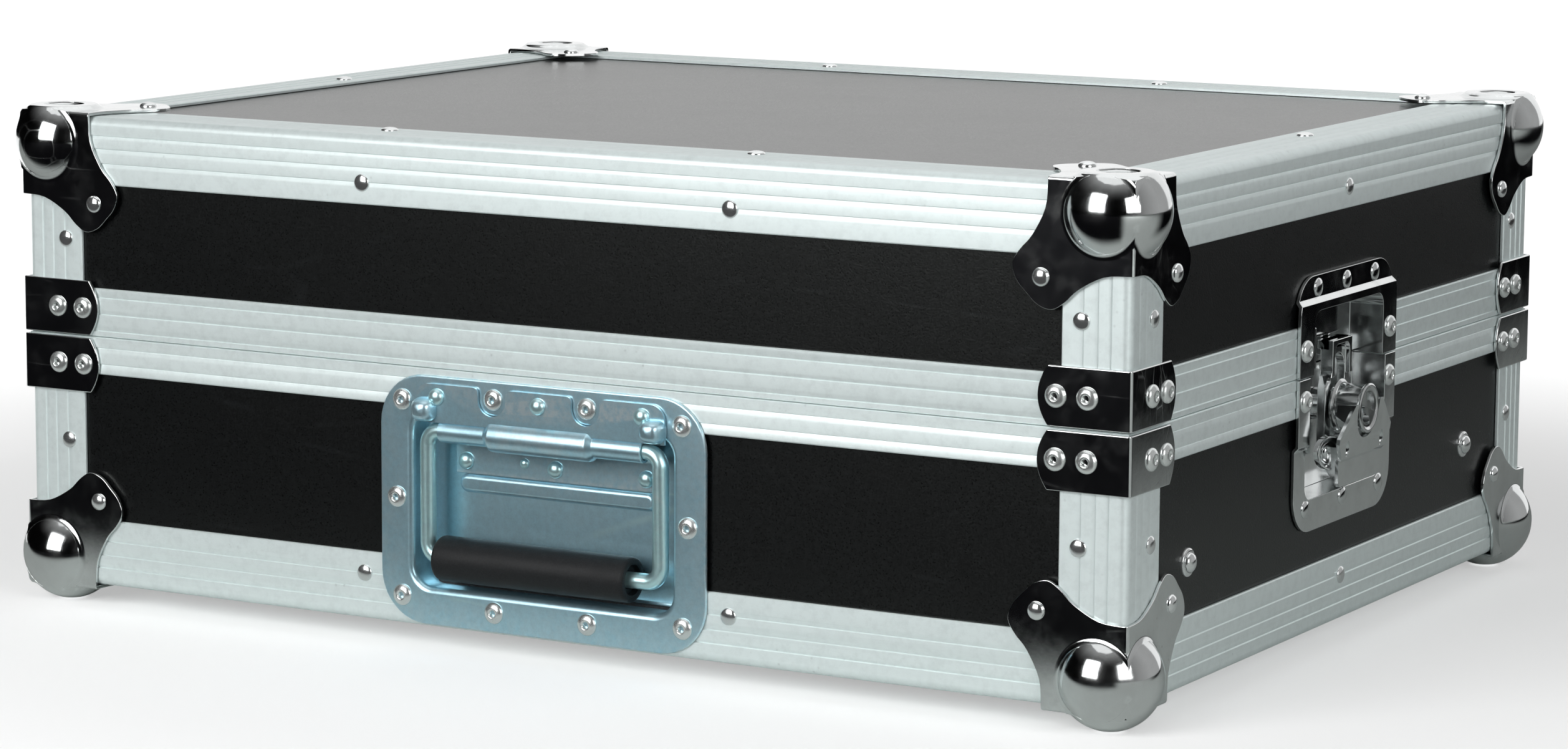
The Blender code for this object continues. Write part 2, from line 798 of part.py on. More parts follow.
def stepped_plate(name, place, heights, step_at, raised_below, rounds):
    """A plate that lies over the extrusion and steps in to the panel."""
    low, high = heights
    half = LATCH_WIDTH / 2
    outline = rounded_box(-half, half, low, high, rounds[0], rounds[1], 5)
    over = FIT + SHEET
    under = -WALL_IN + FIT + SHEET
    if raised_below:
        surface = [(over, low - FOAM), (over, step_at), (under, step_at + STEP_RUN), (under, high + FOAM)]
    else:
        surface = [(under, low - FOAM), (under, step_at - STEP_RUN), (over, step_at), (over, high + FOAM)]
    sheet = ribbon(surface[::-1], SHEET)
    plate = prism(name, outline, -FOAM, FOAM, place)
    return keep(plate, prism("sheet", sheet, -LATCH_WIDTH, LATCH_WIDTH, place, "wvu"))


def latch_dish(name, place):
    """The lower half of the latch's dish, with the bearing hole of the spindle in its floor."""
    high = SPLIT - FIT
    plate = stepped_plate(name, place, (LATCH_LOW, high), LOWER_STEP, False, (LATCH_ROUND, 0))
    back = -LATCH_DEPTH - DISH_SHEET
    half = LOWER_DISH_WIDTH / 2
    thick = half + DISH_SHEET
    outer = rounded_box(-thick, thick, LOWER_DISH_LOW - DISH_SHEET, high, LATCH_DISH_ROUND + DISH_SHEET, 0)
    add(plate, prism("dish", outer, back, -WALL_IN + FIT + SHEET, place))
    inner = rounded_box(-half, half, LOWER_DISH_LOW, high + FOAM, LATCH_DISH_ROUND, 0)
    cut(plate, prism("pocket", inner, -LATCH_DEPTH, LEG, place))
    for side in (-1, 1):
        near, far = sorted((side * half, side * thick))
        web = prism("web", box(near, far, LOWER_STEP - STEP_RUN, high), -SHEET, FIT + SHEET / 2, place)
        add(plate, web)
    bearing = stub(PIVOT_PIN + PIN_CLEARANCE, back - FOAM, -LATCH_DEPTH + FOAM, (0, SPINDLE_Z), place, 12)
    return cut(plate, bearing)


def stub(radius, low, high, centre, place, sides):
    """A short round bar square to the face."""
    return turned("stub", [(radius, low), (radius, high)], centre, place, "uvw", sides)


def latch_catch(name, place):
    """The upper half of the dish: stepped plate, keeper and the fluted block beside it."""
    low = SPLIT + FIT
    plate = stepped_plate(name, place, (low, LATCH_HIGH), UPPER_STEP, True, (0, LATCH_ROUND))
    half = UPPER_DISH_WIDTH / 2
    thick = half + DISH_SHEET
    back = -LATCH_DEPTH - DISH_SHEET
    outer = rounded_box(-thick, thick, low, UPPER_DISH_HIGH + DISH_SHEET, 0, LATCH_DISH_ROUND + DISH_SHEET)
    add(plate, prism("dish", outer, back, FIT + SHEET / 2, place))
    inner = rounded_box(-half, half, low - FOAM, UPPER_DISH_HIGH, 0, LATCH_DISH_ROUND)
    cut(plate, prism("pocket", inner, -LATCH_DEPTH, LEG, place))
    add_keeper(plate, place, back + DISH_SHEET / 2)
    return add(plate, fluted_block(place, back + DISH_SHEET / 2))


def add_keeper(plate, place, floor):
    """The hood that the hook's nose meets, open below, with posts across the window under it."""
    high = KEEPER_LOW + KEEPER_HEIGHT
    half = KEEPER_HALF_WIDTH
    hood = rounded_box(-half, half, KEEPER_LOW, high, 0, DISH_SHEET, 2)
    add(plate, prism("hood", hood, floor, KEEPER_OUT, place))
    mouth = box(-half + SHEET, half - SHEET, KEEPER_LOW - FOAM, high - SHEET)
    cut(plate, prism("mouth", mouth, -LATCH_DEPTH, KEEPER_OUT - SHEET, place))
    for middle in POST_PLACES:
        near = middle - POST_WIDTH / 2
        shape = box(near, near + POST_WIDTH, KEEPER_LOW - POST_REACH, high - SHEET / 2)
        add(plate, prism("post", shape, floor, KEEPER_OUT - SHEET / 2, place))


def fluted_block(place, floor):
    """The buffer beside the keeper, with rounded flutes on its face."""
    edge = -UPPER_DISH_WIDTH / 2
    last = edge + FLUTE_PITCH * FLUTES + SHEET / 2
    outline = [(edge - DISH_SHEET / 2, floor), (last, floor), (last, FLUTE_OUT)]
    for flute in range(FLUTES):
        centre = last - FLUTE_PITCH * (flute + 0.5)
        outline.extend(arc((centre, FLUTE_OUT + SHEET), FLUTE_RADIUS, 20, 160, 3))
    outline.append((edge - DISH_SHEET / 2, FLUTE_OUT))
    return prism("flutes", outline, SPLIT + FLUTE_LOW, SPLIT + FLUTE_HIGH, place, "uwv")


def spindle(name, place):
    """Pivot pin, shank, collar, drum and head in one turned piece, cross-drilled for the wing's pins."""
    centre = (0, SPINDLE_Z)
    collar = HOOK_OUT + 2 * FIT
    profile = [
        (PIVOT_PIN, -LATCH_DEPTH - DISH_SHEET - FIT),
        (PIVOT_PIN, -LATCH_DEPTH + FIT),
        (SHANK_RADIUS, -LATCH_DEPTH + FIT),
        (SHANK_RADIUS, collar),
        (COLLAR_RADIUS, collar),
        (COLLAR_RADIUS, collar + COLLAR_THICK),
        (DRUM_RADIUS, collar + COLLAR_THICK),
        (DRUM_RADIUS, HEAD_OUT - 4 * HEAD_RIM),
        (HEAD_RADIUS, HEAD_OUT - 3 * HEAD_RIM),
        (HEAD_RADIUS, HEAD_OUT - HEAD_RIM),
        (HEAD_RADIUS - HEAD_RIM, HEAD_OUT),
    ]
    piece = turned(name, profile, centre, place, "uvw", 20)
    inner, outer = KIDNEY_RADII
    for start in (20, 200):
        kidney = arc(centre, outer, start, start + 140, 6) + arc(centre, inner, start + 140, start, 6)
        cut(piece, prism("kidney", kidney, HEAD_OUT - KIDNEY_DEPTH, HEAD_OUT + LEG, place))
    drill = CROSS_PIN + PIN_CLEARANCE
    hole = turned("hole", [(drill, -LEG), (drill, LEG)], (SPINDLE_Z, FOLD_OUT), place, "vwu", 12)
    return cut(piece, hole)


def hook(name, place):
    """The slotted hook: a plate with a raised rim round its upper end, and the nose that meets the keeper."""
    half = HOOK_HALF_WIDTH
    top = HOOK_TOP_HALF_WIDTH
    shoulder = SPINDLE_Z + HOOK_SHOULDER
    neck = SPINDLE_Z + HOOK_NECK
    outline = mirrored([(half, SPINDLE_Z - HOOK_LOW), (half, shoulder), (top, neck), (top, HOOK_TOP)])
    plate = prism(name, outline, HOOK_OUT - HOOK_THICK, HOOK_OUT, place)
    rim_low = shoulder + HOOK_NOSE
    flank = half + (top - half) * (rim_low - shoulder) / (neck - shoulder)
    rim_outline = mirrored([(flank, rim_low), (top, neck), (top, HOOK_TOP)])
    add(plate, prism("rim", rim_outline, HOOK_OUT - HOOK_THICK / 2, HOOK_OUT + HOOK_RIM_RISE, place))
    inner = top - HOOK_RIM
    bend = HOOK_TOP - 2 * HOOK_RIM
    arch = mirrored([(inner, rim_low - HOOK_NOSE), (inner, bend), (inner - HOOK_RIM, bend + HOOK_RIM)])
    cut(plate, prism("arch", arch, HOOK_OUT, LEG, place))
    nose = box(-top, top, HOOK_TOP - HOOK_NOSE, HOOK_TOP)
    add(plate, prism("nose", nose, KEEPER_OUT + NOSE_CLEARANCE, HOOK_OUT, place))
    width = SHANK_RADIUS + PIN_CLEARANCE
    slot_low = SPINDLE_Z - HOOK_TRAVEL - PIN_CLEARANCE
    slot = arc((0, slot_low), width, 180, 360, 8)
    slot += arc((0, SPINDLE_Z + SLOT_OVER_SPINDLE), width, 0, 180, 8)
    return cut(plate, prism("slot", slot, -LEG, LEG, place))


def from_spindle(points):
    """The same points, with their second numbers counted from the spindle's height."""
    return [(first, SPINDLE_Z + second) for first, second in points]


def wing(name, place):
    """The folding wing: a bent plate with a U round the head, cheeks with cross pins, tails and two ears."""
    surface = [(0.0120, 0.0029), (0.0116, 0.0004), (0.0096, -0.0146), (0.0094, -0.0161), (0.0084, -0.0320)]
    throat = arc((0, -0.0012), WING_THROAT, 270, 360, 5)
    edge = [
        (WING_THROAT, 0.0029),
        (0.0150, 0.0029),
        (0.0280, -0.0101),
        (0.0280, -0.0126),
        (0.0245, -0.0181),
        (0.0235, -0.0206),
        (0.0226, -0.0301),
        (0.0205, -0.0320),
    ]
    outline = mirrored(throat[1:] + edge) + throat[:1]
    sheet = ribbon(from_spindle(surface), WING_SHEET)
    folded = prism(name, sheet, -LATCH_WIDTH / 2, LATCH_WIDTH / 2, place, "wvu")
    keep(folded, prism("outline", from_spindle(outline), -LEG, LEG, place))
    cheek = [(0.0106, 0.0026), (0.0025, 0.0024), (0.0020, -0.0026), (0.0050, -0.0046), (0.0090, -0.0066)]
    cheek = from_spindle(cheek)
    tail = [(0.0078, -0.0314), (0.0060, -0.0306), (WING_BACK + 0.0010, -0.0231), (WING_BACK, -0.0221)]
    tail = from_spindle(tail + [(WING_BACK, -0.0146), (0.0086, -0.0146)])
    cheek_in = WING_THROAT + CHEEK_GAP
    for side in (-1, 1):
        near, far = sorted((side * cheek_in, side * (cheek_in + CHEEK_SHEET)))
        add(folded, prism("cheek", cheek, near, far, place, "wvu"))
        near, far = sorted((side * EAR_SIDE, side * (EAR_SIDE + TAIL_SHEET)))
        add(folded, prism("tail", tail, near, far, place, "wvu"))
        near, far = sorted((side * (DRUM_RADIUS - PIN_BITE), side * (cheek_in + CHEEK_SHEET / 2)))
        pin = [(CROSS_PIN, near), (CROSS_PIN, far)]
        add(folded, turned("pin", pin, (SPINDLE_Z, FOLD_OUT), place, "vwu", 12))
        add(folded, turned("ear", ear_profile(), (side * EAR_SIDE, SPINDLE_Z - EAR_DROP), place, "uvw", 12))
    return folded


def ear_profile():
    """A cupped ear with a raised middle, as (radius, out)."""
    lip = 0.0016
    return [
        (EAR_RADIUS - 0.0006, WING_BACK),
        (EAR_RADIUS, WING_BACK + 0.0006),
        (EAR_RADIUS, 0.0024),
        (EAR_RADIUS - 0.0006, 0.0030),
        (EAR_RADIUS - lip, 0.0030),
        (EAR_RADIUS - lip - 0.0006, 0.0006),
        (0.45 * EAR_RADIUS, 0.0006),
        (0.40 * EAR_RADIUS, 0.0018),
        (0.30 * EAR_RADIUS, 0.0018),
    ]


# Rack strips


def rack_strip(name, place):
    """An angle bolted inside the side wall, with square holes on the 19 inch grid in its upper leg."""
    length = RACK_UNIT * RACK_UNITS
    front = -LINING_IN
    inner = -(CASE_WIDTH - RACK_APERTURE) / 2
    section = [
        (front, RACK_LOW),
        (front, RACK_HIGH),
        (inner, RACK_HIGH),
        (inner, RACK_HIGH - RACK_SHEET),
        (front - RACK_SHEET, RACK_HIGH - RACK_SHEET),
        (front - RACK_SHEET, RACK_LOW),
    ]
    strip = prism(name, section, -length / 2, length / 2, place, "wvu")
    line = -(CASE_WIDTH - RACK_HOLE_SPAN) / 2
    half = RACK_HOLE / 2
    for unit in range(RACK_UNITS):
        middle = (unit - (RACK_UNITS - 1) / 2) * RACK_UNIT
        for step in RACK_HOLE_STEPS:
            at = middle + step
            hole = box(at - half, at + half, line - half, line + half)
            cut(strip, prism("hole", hole, RACK_HIGH - LEG / 3, RACK_HIGH + LEG, place, "uwv"))
    return strip


# The whole case


def clear_scene():
    for thing in list(bpy.data.objects):
        bpy.data.objects.remove(thing)


def latch_cutter(place, is_lid):
    """The opening that a half of the latch dish needs in panels and foam."""
    clearance = DISH_SHEET + CUT_CLEARANCE
    half = (UPPER_DISH_WIDTH if is_lid else LOWER_DISH_WIDTH) / 2 + clearance
    low = SPLIT - LEG if is_lid else LOWER_DISH_LOW - clearance
    high = UPPER_DISH_HIGH + clearance if is_lid else SPLIT + LEG
    return prism("opening", box(-half, half, low, high), -LATCH_CUT_DEPTH, LEG, place)


def handle_cutter():
    """The opening that the handle's dish needs in extrusion, panel and foam."""
    outline = dish_outline(DISH_SHEET + CUT_CLEARANCE)
    return prism("opening", outline, -DISH_DEPTH - DISH_SHEET - CUT_CLEARANCE, LEG, front_frame)


def make_base():
    walls = ring_of_walls("base_walls", WALL_IN, SPLIT - SHEET - FIT)
    cut(walls, handle_cutter())
    for side in (-1, 1):
        cut(walls, latch_cutter(side_frame(side), False))
    finish(walls, BLACK_PANEL)
    finish(flat_panel("base_floor", WALL_IN, WALL_BACK), BLACK_PANEL)
    for piece in edge_angles("base", False, SPLIT - BASE_RIM_LEG - FIT):
        if piece.name == "base_edge_front":
            cut(piece, handle_cutter())
        finish(piece, ALUMINIUM)
    gap = LOWER_DISH_WIDTH / 2 + DISH_SHEET + CUT_CLEARANCE
    for label, y_sign in (("front", -1), ("back", 1)):
        finish(rim(f"base_rim_{label}", base_rim_section(), y_sign, gap), ALUMINIUM)
    for label, x_sign, y_sign in CORNERS:
        finish(ball_corner(f"base_ball_{label}", x_sign, y_sign, False), CHROME)
        low = SPLIT - BRACE_FROM_SPLIT - BRACE_HEIGHT
        finish(brace(f"base_brace_{label}", x_sign, y_sign, low), CHROME)
    foam = lining("base_foam", LINING_IN, LINING_IN + FOAM, LINING_IN, SPLIT - BASE_RIM_LEG - FIT)
    cut(foam, handle_cutter())
    half_depth = CASE_DEPTH / 2 - LINING_IN - FOAM
    for side in (-1, 1):
        opening = box(-half_depth, half_depth, RACK_LOW - FIT, SPLIT)
        cut(foam, prism("relief", opening, -LEG, LEG, side_frame(side)))
        label = "right" if side == 1 else "left"
        strip = rack_strip(f"rack_strip_{label}", side_frame(side))
        finish(cut(strip, latch_cutter(side_frame(side), False)), STEEL)
    finish(foam, FOAM_GREY)


def make_lid():
    middle = Vector((0, 0, GROUND + SPLIT))
    roof = SPLIT + TONGUE_HEIGHT + TONGUE_CLEARANCE + SHEET + FIT
    walls = ring_of_walls("lid_walls", roof, CASE_HEIGHT - WALL_IN)
    foam_high = CASE_HEIGHT - LINING_IN
    foam = lining("lid_foam", foam_high - FOAM, foam_high, SPLIT + LID_RIM_LEG + FIT, foam_high)
    for side in (-1, 1):
        cut(walls, latch_cutter(side_frame(side), True))
        cut(foam, latch_cutter(side_frame(side), True))
    finish(walls, BLACK_PANEL, middle)
    finish(foam, FOAM_GREY, middle)
    top = flat_panel("lid_top", CASE_HEIGHT - WALL_BACK, CASE_HEIGHT - WALL_IN)
    finish(top, BLACK_PANEL, middle)
    for piece in edge_angles("lid", True, CASE_HEIGHT - SPLIT - LID_RIM_LEG - FIT):
        finish(piece, ALUMINIUM, middle)
    gap = UPPER_DISH_WIDTH / 2 + DISH_SHEET + CUT_CLEARANCE
    for label, y_sign in (("front", -1), ("back", 1)):
        finish(rim(f"lid_rim_{label}", lid_rim_section(), y_sign, gap), ALUMINIUM, middle)
    for label, x_sign, y_sign in CORNERS:
        finish(ball_corner(f"lid_ball_{label}", x_sign, y_sign, True), CHROME, middle)
        finish(brace(f"lid_brace_{label}", x_sign, y_sign, SPLIT + BRACE_FROM_SPLIT), CHROME, middle)


def make_handle():
    axis = front_frame(0, BAIL_Z, BAIL_OUT)
    finish(handle_plate(), BLUE_ZINC)
    finish(handle_cover(), BLUE_ZINC)
    finish(bail(), BLUE_ZINC, axis)
    finish(grip(), RUBBER, axis)
    finish(return_spring(), STEEL)


def make_latches():
    for label, side in (("right", 1), ("left", -1)):
        place = side_frame(side)
        spindle_axis = place(0, SPINDLE_Z, 0)
        finish(latch_dish(f"{label}_latch_dish", place), CHROME)
        finish(latch_catch(f"{label}_latch_catch", place), CHROME, Vector((0, 0, GROUND + SPLIT)))
        finish(spindle(f"{label}_latch_spindle", place), CHROME, spindle_axis)
        finish(hook(f"{label}_latch_hook", place), CHROME, spindle_axis)
        finish(wing(f"{label}_latch_wing", place), CHROME, place(0, SPINDLE_Z, FOLD_OUT))


def main():
    clear_scene()
    make_base()
    make_lid()
    make_handle()
    make_latches()


main()
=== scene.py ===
"""Detailed model of a mixer flight case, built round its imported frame.

Places on the case are given as u, v, w: along a face, up from the bottom extrusions, and out of the face.
"""

import math

import bmesh
import bpy
from bpy.props import FloatProperty, FloatVectorProperty, PointerProperty
from mathutils import Matrix, Vector


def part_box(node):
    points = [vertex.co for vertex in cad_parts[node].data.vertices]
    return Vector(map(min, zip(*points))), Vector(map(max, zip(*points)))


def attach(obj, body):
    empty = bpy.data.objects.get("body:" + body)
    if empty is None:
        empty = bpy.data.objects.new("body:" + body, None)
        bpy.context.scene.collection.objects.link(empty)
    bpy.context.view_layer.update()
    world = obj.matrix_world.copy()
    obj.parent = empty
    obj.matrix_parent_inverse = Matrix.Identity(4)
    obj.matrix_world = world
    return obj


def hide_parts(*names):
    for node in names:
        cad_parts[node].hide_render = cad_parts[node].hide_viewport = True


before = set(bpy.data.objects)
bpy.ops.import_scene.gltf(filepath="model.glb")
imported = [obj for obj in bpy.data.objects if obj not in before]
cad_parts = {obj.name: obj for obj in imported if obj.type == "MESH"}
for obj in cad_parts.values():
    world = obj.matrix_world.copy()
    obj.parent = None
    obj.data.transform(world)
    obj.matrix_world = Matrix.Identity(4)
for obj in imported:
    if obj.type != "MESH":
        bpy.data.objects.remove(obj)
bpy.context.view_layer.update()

bl_info = {
    "name": "Mixer Flight Case",
    "version": (1, 0, 0),
    "blender": (4, 5, 0),
    "location": "View3D > Sidebar > Flight Case",
    "description": "Builds the pieces and finishes of a mixer flight case round its frame",
    "category": "Add Mesh",
}

# Gap that the frame leaves between pieces that touch
FIT = 0.0003

# Overall sizes, read from the frame
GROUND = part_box("base_edge_front")[0].z
HALF_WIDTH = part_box("base_edge_right")[1].x
HALF_DEPTH = -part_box("base_edge_front")[0].y
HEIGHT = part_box("lid_edge_front")[1].z - GROUND
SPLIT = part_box("lid_rim_front")[0].z - FIT - GROUND

# Sheets and legs, and how deep panels, linings and closing extrusions lie
SHEET = 0.0015
THIN = 0.0012
LEG = 0.030
PANEL_FACE = SHEET + FIT
PANEL_BACK = PANEL_FACE + 0.007
LINING_FACE = PANEL_BACK + FIT
FOAM = 0.010
FOAM_WAVE = 0.0008
FOAM_LONG_EDGE = 0.05
FOAM_CUTS = 10
STRIP_LOW = 0.042
PLATE_FACE = FIT + SHEET
BASE_RIM_LEG = 0.0167
LID_RIM_LEG = 0.0218
RIM_SLOT = LINING_FACE
RIM_IN = RIM_SLOT + SHEET
CLEAR = 0.0005

# How far a shape that cuts or keeps runs past the shape that it works on
PAST = 0.010
FAR_PAST = 0.030

# Flat bands sunk in the extrusions, as distances from the outer edge or from the split
EDGE_BANDS = ((0.0080, 0.0100), (0.0138, 0.0163), (0.0202, 0.0228))
LID_RIM_BANDS = ((0.0026, 0.0055), (0.0100, 0.0124), (0.0174, 0.0200))
BASE_RIM_BANDS = ((0.0045, 0.0074), (0.0118, 0.0142))

# Section of a band: its groove's deepest place and end, and its floor, as shares of its depth; its ramp
GROOVE_BOTTOM = 0.8
GROOVE_END = 1.6
BAND_FLOOR = 0.6
BAND_RAMP = 0.0010
EXTRUSION_CREASE = 30

# Corners
BALL_RADIUS = 0.0218
BALL_INSET = 0.012
BALL_FLAT = -0.0038
BALL_RECESS = 0.0012
PLATES_HIDDEN = 0.004
LOBE = (
    (0.0360, 0.0000),
    (0.0370, 0.0110),
    (0.0426, 0.0220),
    (0.0480, 0.0280),
    (0.0512, 0.0337),
    (0.0495, 0.0400),
    (0.0450, 0.0450),
)
LOBE_RIVET = 0.0385
BRACE_LEG = 0.0395
BRACE_HEIGHT = 0.0245
BRACE_BOW = 0.0045
BRACE_GAP = 0.0006
BRACE_RIVETS = (0.0175, 0.0313)
CORNERS = (
    ("front_left", -1, -1),
    ("front_right", 1, -1),
    ("back_left", -1, 1),
    ("back_right", 1, 1),
)

# Handle
HANDLE_HALF = 0.081
HANDLE_LOW = 0.0017
HANDLE_TOP = SPLIT - 0.0027
HANDLE_ROUND = 0.022
DISH_HALF = 0.0645
DISH_LOW = 0.018
DISH_HIGH = 0.093
DISH_ROUND = 0.009
DISH_DEPTH = 0.012
BAIL_V = 0.086
BAIL_LOW = 0.031
BAIL_W = -0.0005
BAIL_HALF = 0.058
BAIL_ROD = 0.0035
BAIL_BEND = 0.0065
GRIP_SHIFT = -0.0032
GRIP_HALF = 0.048
GRIP_RADIUS = 0.00975
COVER_W = PLATE_FACE + FIT
BEAD_LOW = 0.0584
BEAD_HIGH = 0.0664
BEAD_HALF = 0.049
BEAD_LEVELS = (
    (0.0, -0.0122),
    (0.0, -0.0119),
    (0.0004, -0.0113),
    (0.0009, -0.0107),
    (0.0015, -0.0104),
    (0.0022, -0.0103),
)
BARREL_SMALL = 0.0050
BARREL_BIG = 0.0069
BARREL_REACH = 0.0505
STRIP_FACE = -DISH_DEPTH + FIT + THIN
EYE_U = 0.0567
EYE_V = 0.0954
EYE_HALVES = (0.0057, 0.0053)
EYE_TOP = 0.0097

# Latch
LATCH_HALF = 0.0525
LATCH_LOW = SPLIT - 0.0674
LATCH_HIGH = SPLIT + 0.0426
LATCH_ROUND = 0.017
LATCH_DEPTH = 0.014
LOWER_STEP = SPLIT - BASE_RIM_LEG - 0.0125
UPPER_STEP = SPLIT + LID_RIM_LEG + 0.0093
STEP_RUN = 0.0019
LOWER_HALF = 0.041
LOWER_LOW = LATCH_LOW + 0.014
UPPER_HALF = 0.0375
UPPER_HIGH = LATCH_HIGH - 0.015
SPINDLE_V = SPLIT - 0.0178
HOOK_W = -0.0032
HOOK_TOP = SPINDLE_V + 0.0294
HOOK_LOW = SPINDLE_V - 0.0246
HOOK_HALF = 0.0135
HOOK_TOP_HALF = 0.0105
HOOK_SLOT = 0.0074
HOOK_THICK = 0.0038
HOOK_RISE = 0.0020
KEEPER_LOW = HOOK_TOP + 0.001
KEEPER_W = -0.009
FOLD_W = 0.005
WING_BACK = HOOK_W + HOOK_RISE + 0.0004
LATCH_DISH_OUTER = 0.0072
LATCH_DISH_INNER = 0.006
BEARING_RADIUS = 0.0040
HOOD_HALF = 0.013
HOOD_TALL = 0.0125
MOUTH_HALF = 0.0115
KEEPER_POSTS = (-0.0030, 0.0050)
POST_HALF = 0.001
POST_BELOW = 0.0085
FLUTED_WIDE = 0.0145
FLUTED_LOW = SPLIT + 0.0011
FLUTED_HIGH = SPLIT + 0.0186
FLUTE_PITCH = 0.0050
FLUTE_RADIUS = 0.0021
FLUTE_RISE = -0.0053
KIDNEY_STARTS = (-17, 163)
KIDNEY_SPAN = 124
CHEEK_SPAN = (0.0118, 0.0134)
TAIL_SPAN = (0.0210, 0.0225)
PIN_SPAN = (0.0082, 0.0126)
PIN_RADIUS = 0.0020
PIN_HOLE_RADIUS = 0.0024
EAR_U = 0.0215
EAR_V = SPINDLE_V - 0.0171
EAR_TURN = math.radians(30)
EAR_LIFT = 0.0015
DIMPLE_U = 0.0186
DIMPLE_V = SPINDLE_V - 0.0154
SIDES = (("right", 1), ("left", -1))

# Fasteners: how far they sit from the middle, from an outer edge or up the face
EDGE_RIVET_U = 0.091
EDGE_RIVET_UP = 0.0205
EDGE_RIVET_DOWN = 0.0207
FLAT_RIVET_IN = 0.0215
SHORT_RIVET_IN = 0.0210
POST_RIVET_IN = 0.0213
POST_RIVET_BASE = 0.065
POST_RIVET_LID = 0.1555
BRACE_RIVETS_BASE = 0.1000
BRACE_RIVETS_LID = 0.1253
HANDLE_POPS = ((0.0695, 0.0984), (0.0233, 0.1017), (0.0725, 0.0560), (0.0700, 0.0134), (0.0233, 0.0101))
COVER_DOMES = (0.051, 0.101)
STRIP_DOMES = (0.045, 0.0722)
STRIP_STUD = (-0.0155, 0.0735)
LATCH_LID_POPS = (0.0455, 0.1240)
LATCH_BASE_POPS = (0.0455, 0.1024)
LATCH_TOP_RIVETS = (0.031, 0.1496)
LATCH_LOW_RIVETS = (0.040, 0.0553)
STRIP_BOLTS = ((-0.155, 0.0514), (0.145, 0.0570))

# Stage: azimuth, elevation and roll of the view, its place, and the reach of floor and curtains
CAMERA_ANGLES = (29.664, 8.644, 0.31)
CAMERA_PLACE = (1.03848, -1.83375, 0.41657)
FLOOR_REACH = 14.0
ROOM_START = -125
ROOM_SPAN = 275
ROOM_PANELS = 8
ROOM_REACH = 4.0
ROOM_HEIGHT = 6.5


# Frames: each turns (u, v, w) into a point of the case


def front(u, v, w):
    return Vector((u, -HALF_DEPTH - w, GROUND + v))


def back(u, v, w):
    return Vector((-u, HALF_DEPTH + w, GROUND + v))


def side(sign):
    """The right face for 1, the left face for -1."""

    def place(u, v, w):
        return Vector((sign * (HALF_WIDTH + w), sign * u, GROUND + v))

    return place


def top(u, v, w):
    return Vector((u, v, GROUND + HEIGHT + w))


def bottom(u, v, w):
    return Vector((u, v, GROUND - w))


def plan(u, v, w):
    return Vector((u, v, GROUND + w))


def corner(x_sign, y_sign, is_top):
    """A frame whose axes run inward from one corner of the box."""

    def place(a, b, c):
        z = HEIGHT - c if is_top else c
        return Vector((x_sign * (HALF_WIDTH - a), y_sign * (HALF_DEPTH - b), GROUND + z))

    return place


def reordered(place, axes):
    """The same corner frame, called with its axes in another order."""

    def moved(*given):
        values = dict(zip(axes, given))
        return place(values["a"], values["b"], values["c"])

    return moved


# Outlines

# Corners flatter than this stay sharp, and a rounding takes at most this share of a side
NEARLY_STRAIGHT = math.radians(160)
SIDE_SHARE = 0.45


def arc(centre, radius, start, end, steps):
    points = []
    for step in range(steps + 1):
        angle = math.radians(start + (end - start) * step / steps)
        points.append((centre[0] + radius * math.cos(angle), centre[1] + radius * math.sin(angle)))
    return points


def rounded_box(low_u, high_u, low_v, high_v, low_round, high_round, steps=8):
    points = []
    corners = (
        (low_u, low_v, 1, 1, 180, low_round),
        (high_u, low_v, -1, 1, 270, low_round),
        (high_u, high_v, -1, -1, 0, high_round),
        (low_u, high_v, 1, -1, 90, high_round),
    )
    for u, v, to_u, to_v, start, radius in corners:
        if radius == 0:
            points.append((u, v))
        else:
            centre = (u + to_u * radius, v + to_v * radius)
            points += arc(centre, radius, start, start + 90, steps)
    return points


def square(low_u, high_u, low_v, high_v):
    return rounded_box(low_u, high_u, low_v, high_v, 0, 0)


def rounded(points, radius, steps=4):
    """A closed outline with each of its corners rounded."""
    made = []
    for index, point in enumerate(points):
        here = Vector(point)
        to_last = Vector(points[index - 1]) - here
        to_next = Vector(points[(index + 1) % len(points)]) - here
        turn = to_last.angle(to_next)
        if turn > NEARLY_STRAIGHT:
            made.append(point)
            continue
        reach = min(radius / math.tan(turn / 2), SIDE_SHARE * to_last.length, SIDE_SHARE * to_next.length)
        first = here + to_last.normalized() * reach
        last = here + to_next.normalized() * reach
        for step in range(steps + 1):
            share = step / steps
            made.append(tuple(first.lerp(here, share).lerp(here.lerp(last, share), share)))
    return made


def flowing(points, steps):
    """A smooth open curve through the points."""
    made = []
    last = len(points) - 1
    for index in range(last):
        before, start = Vector(points[max(index - 1, 0)]), Vector(points[index])
        end, after = Vector(points[index + 1]), Vector(points[min(index + 2, last)])
        for step in range(steps):
            t = step / steps
            point = 2 * start + (end - before) * t
            point += (2 * before - 5 * start + 4 * end - after) * t**2
            point += (3 * start - before - 3 * end + after) * t**3
            made.append(tuple(0.5 * point))
    return made + [tuple(points[last])]


def ribbon(points, thickness):
    """Outline of a bent sheet that lies to the right of its points."""
    others = []
    for index, point in enumerate(points):
        before = Vector(points[max(index - 1, 0)])
        after = Vector(points[min(index + 1, len(points) - 1)])
        here = Vector(point)
        first = (here - before if index else after - here).normalized()
        second = (after - here if index < len(points) - 1 else here - before).normalized()
        normal = Vector((first.y + second.y, -first.x - second.x)).normalized()
        others.append(tuple(here + normal * thickness / normal.dot(Vector((first.y, -first.x)))))
    return list(points) + others[::-1]


def mirrored(points):
    return list(points) + [(-u, v) for u, v in reversed(points)]


# Meshes

# Share of its radius that a dome keeps at its tip
TIP = 0.02

# Points this near are one, faces this flat to each other are one, and an edge this near a face lies in it
SAME_POINT = 2e-6
SAME_FACE = math.radians(0.4)
IN_FACE = 1e-5


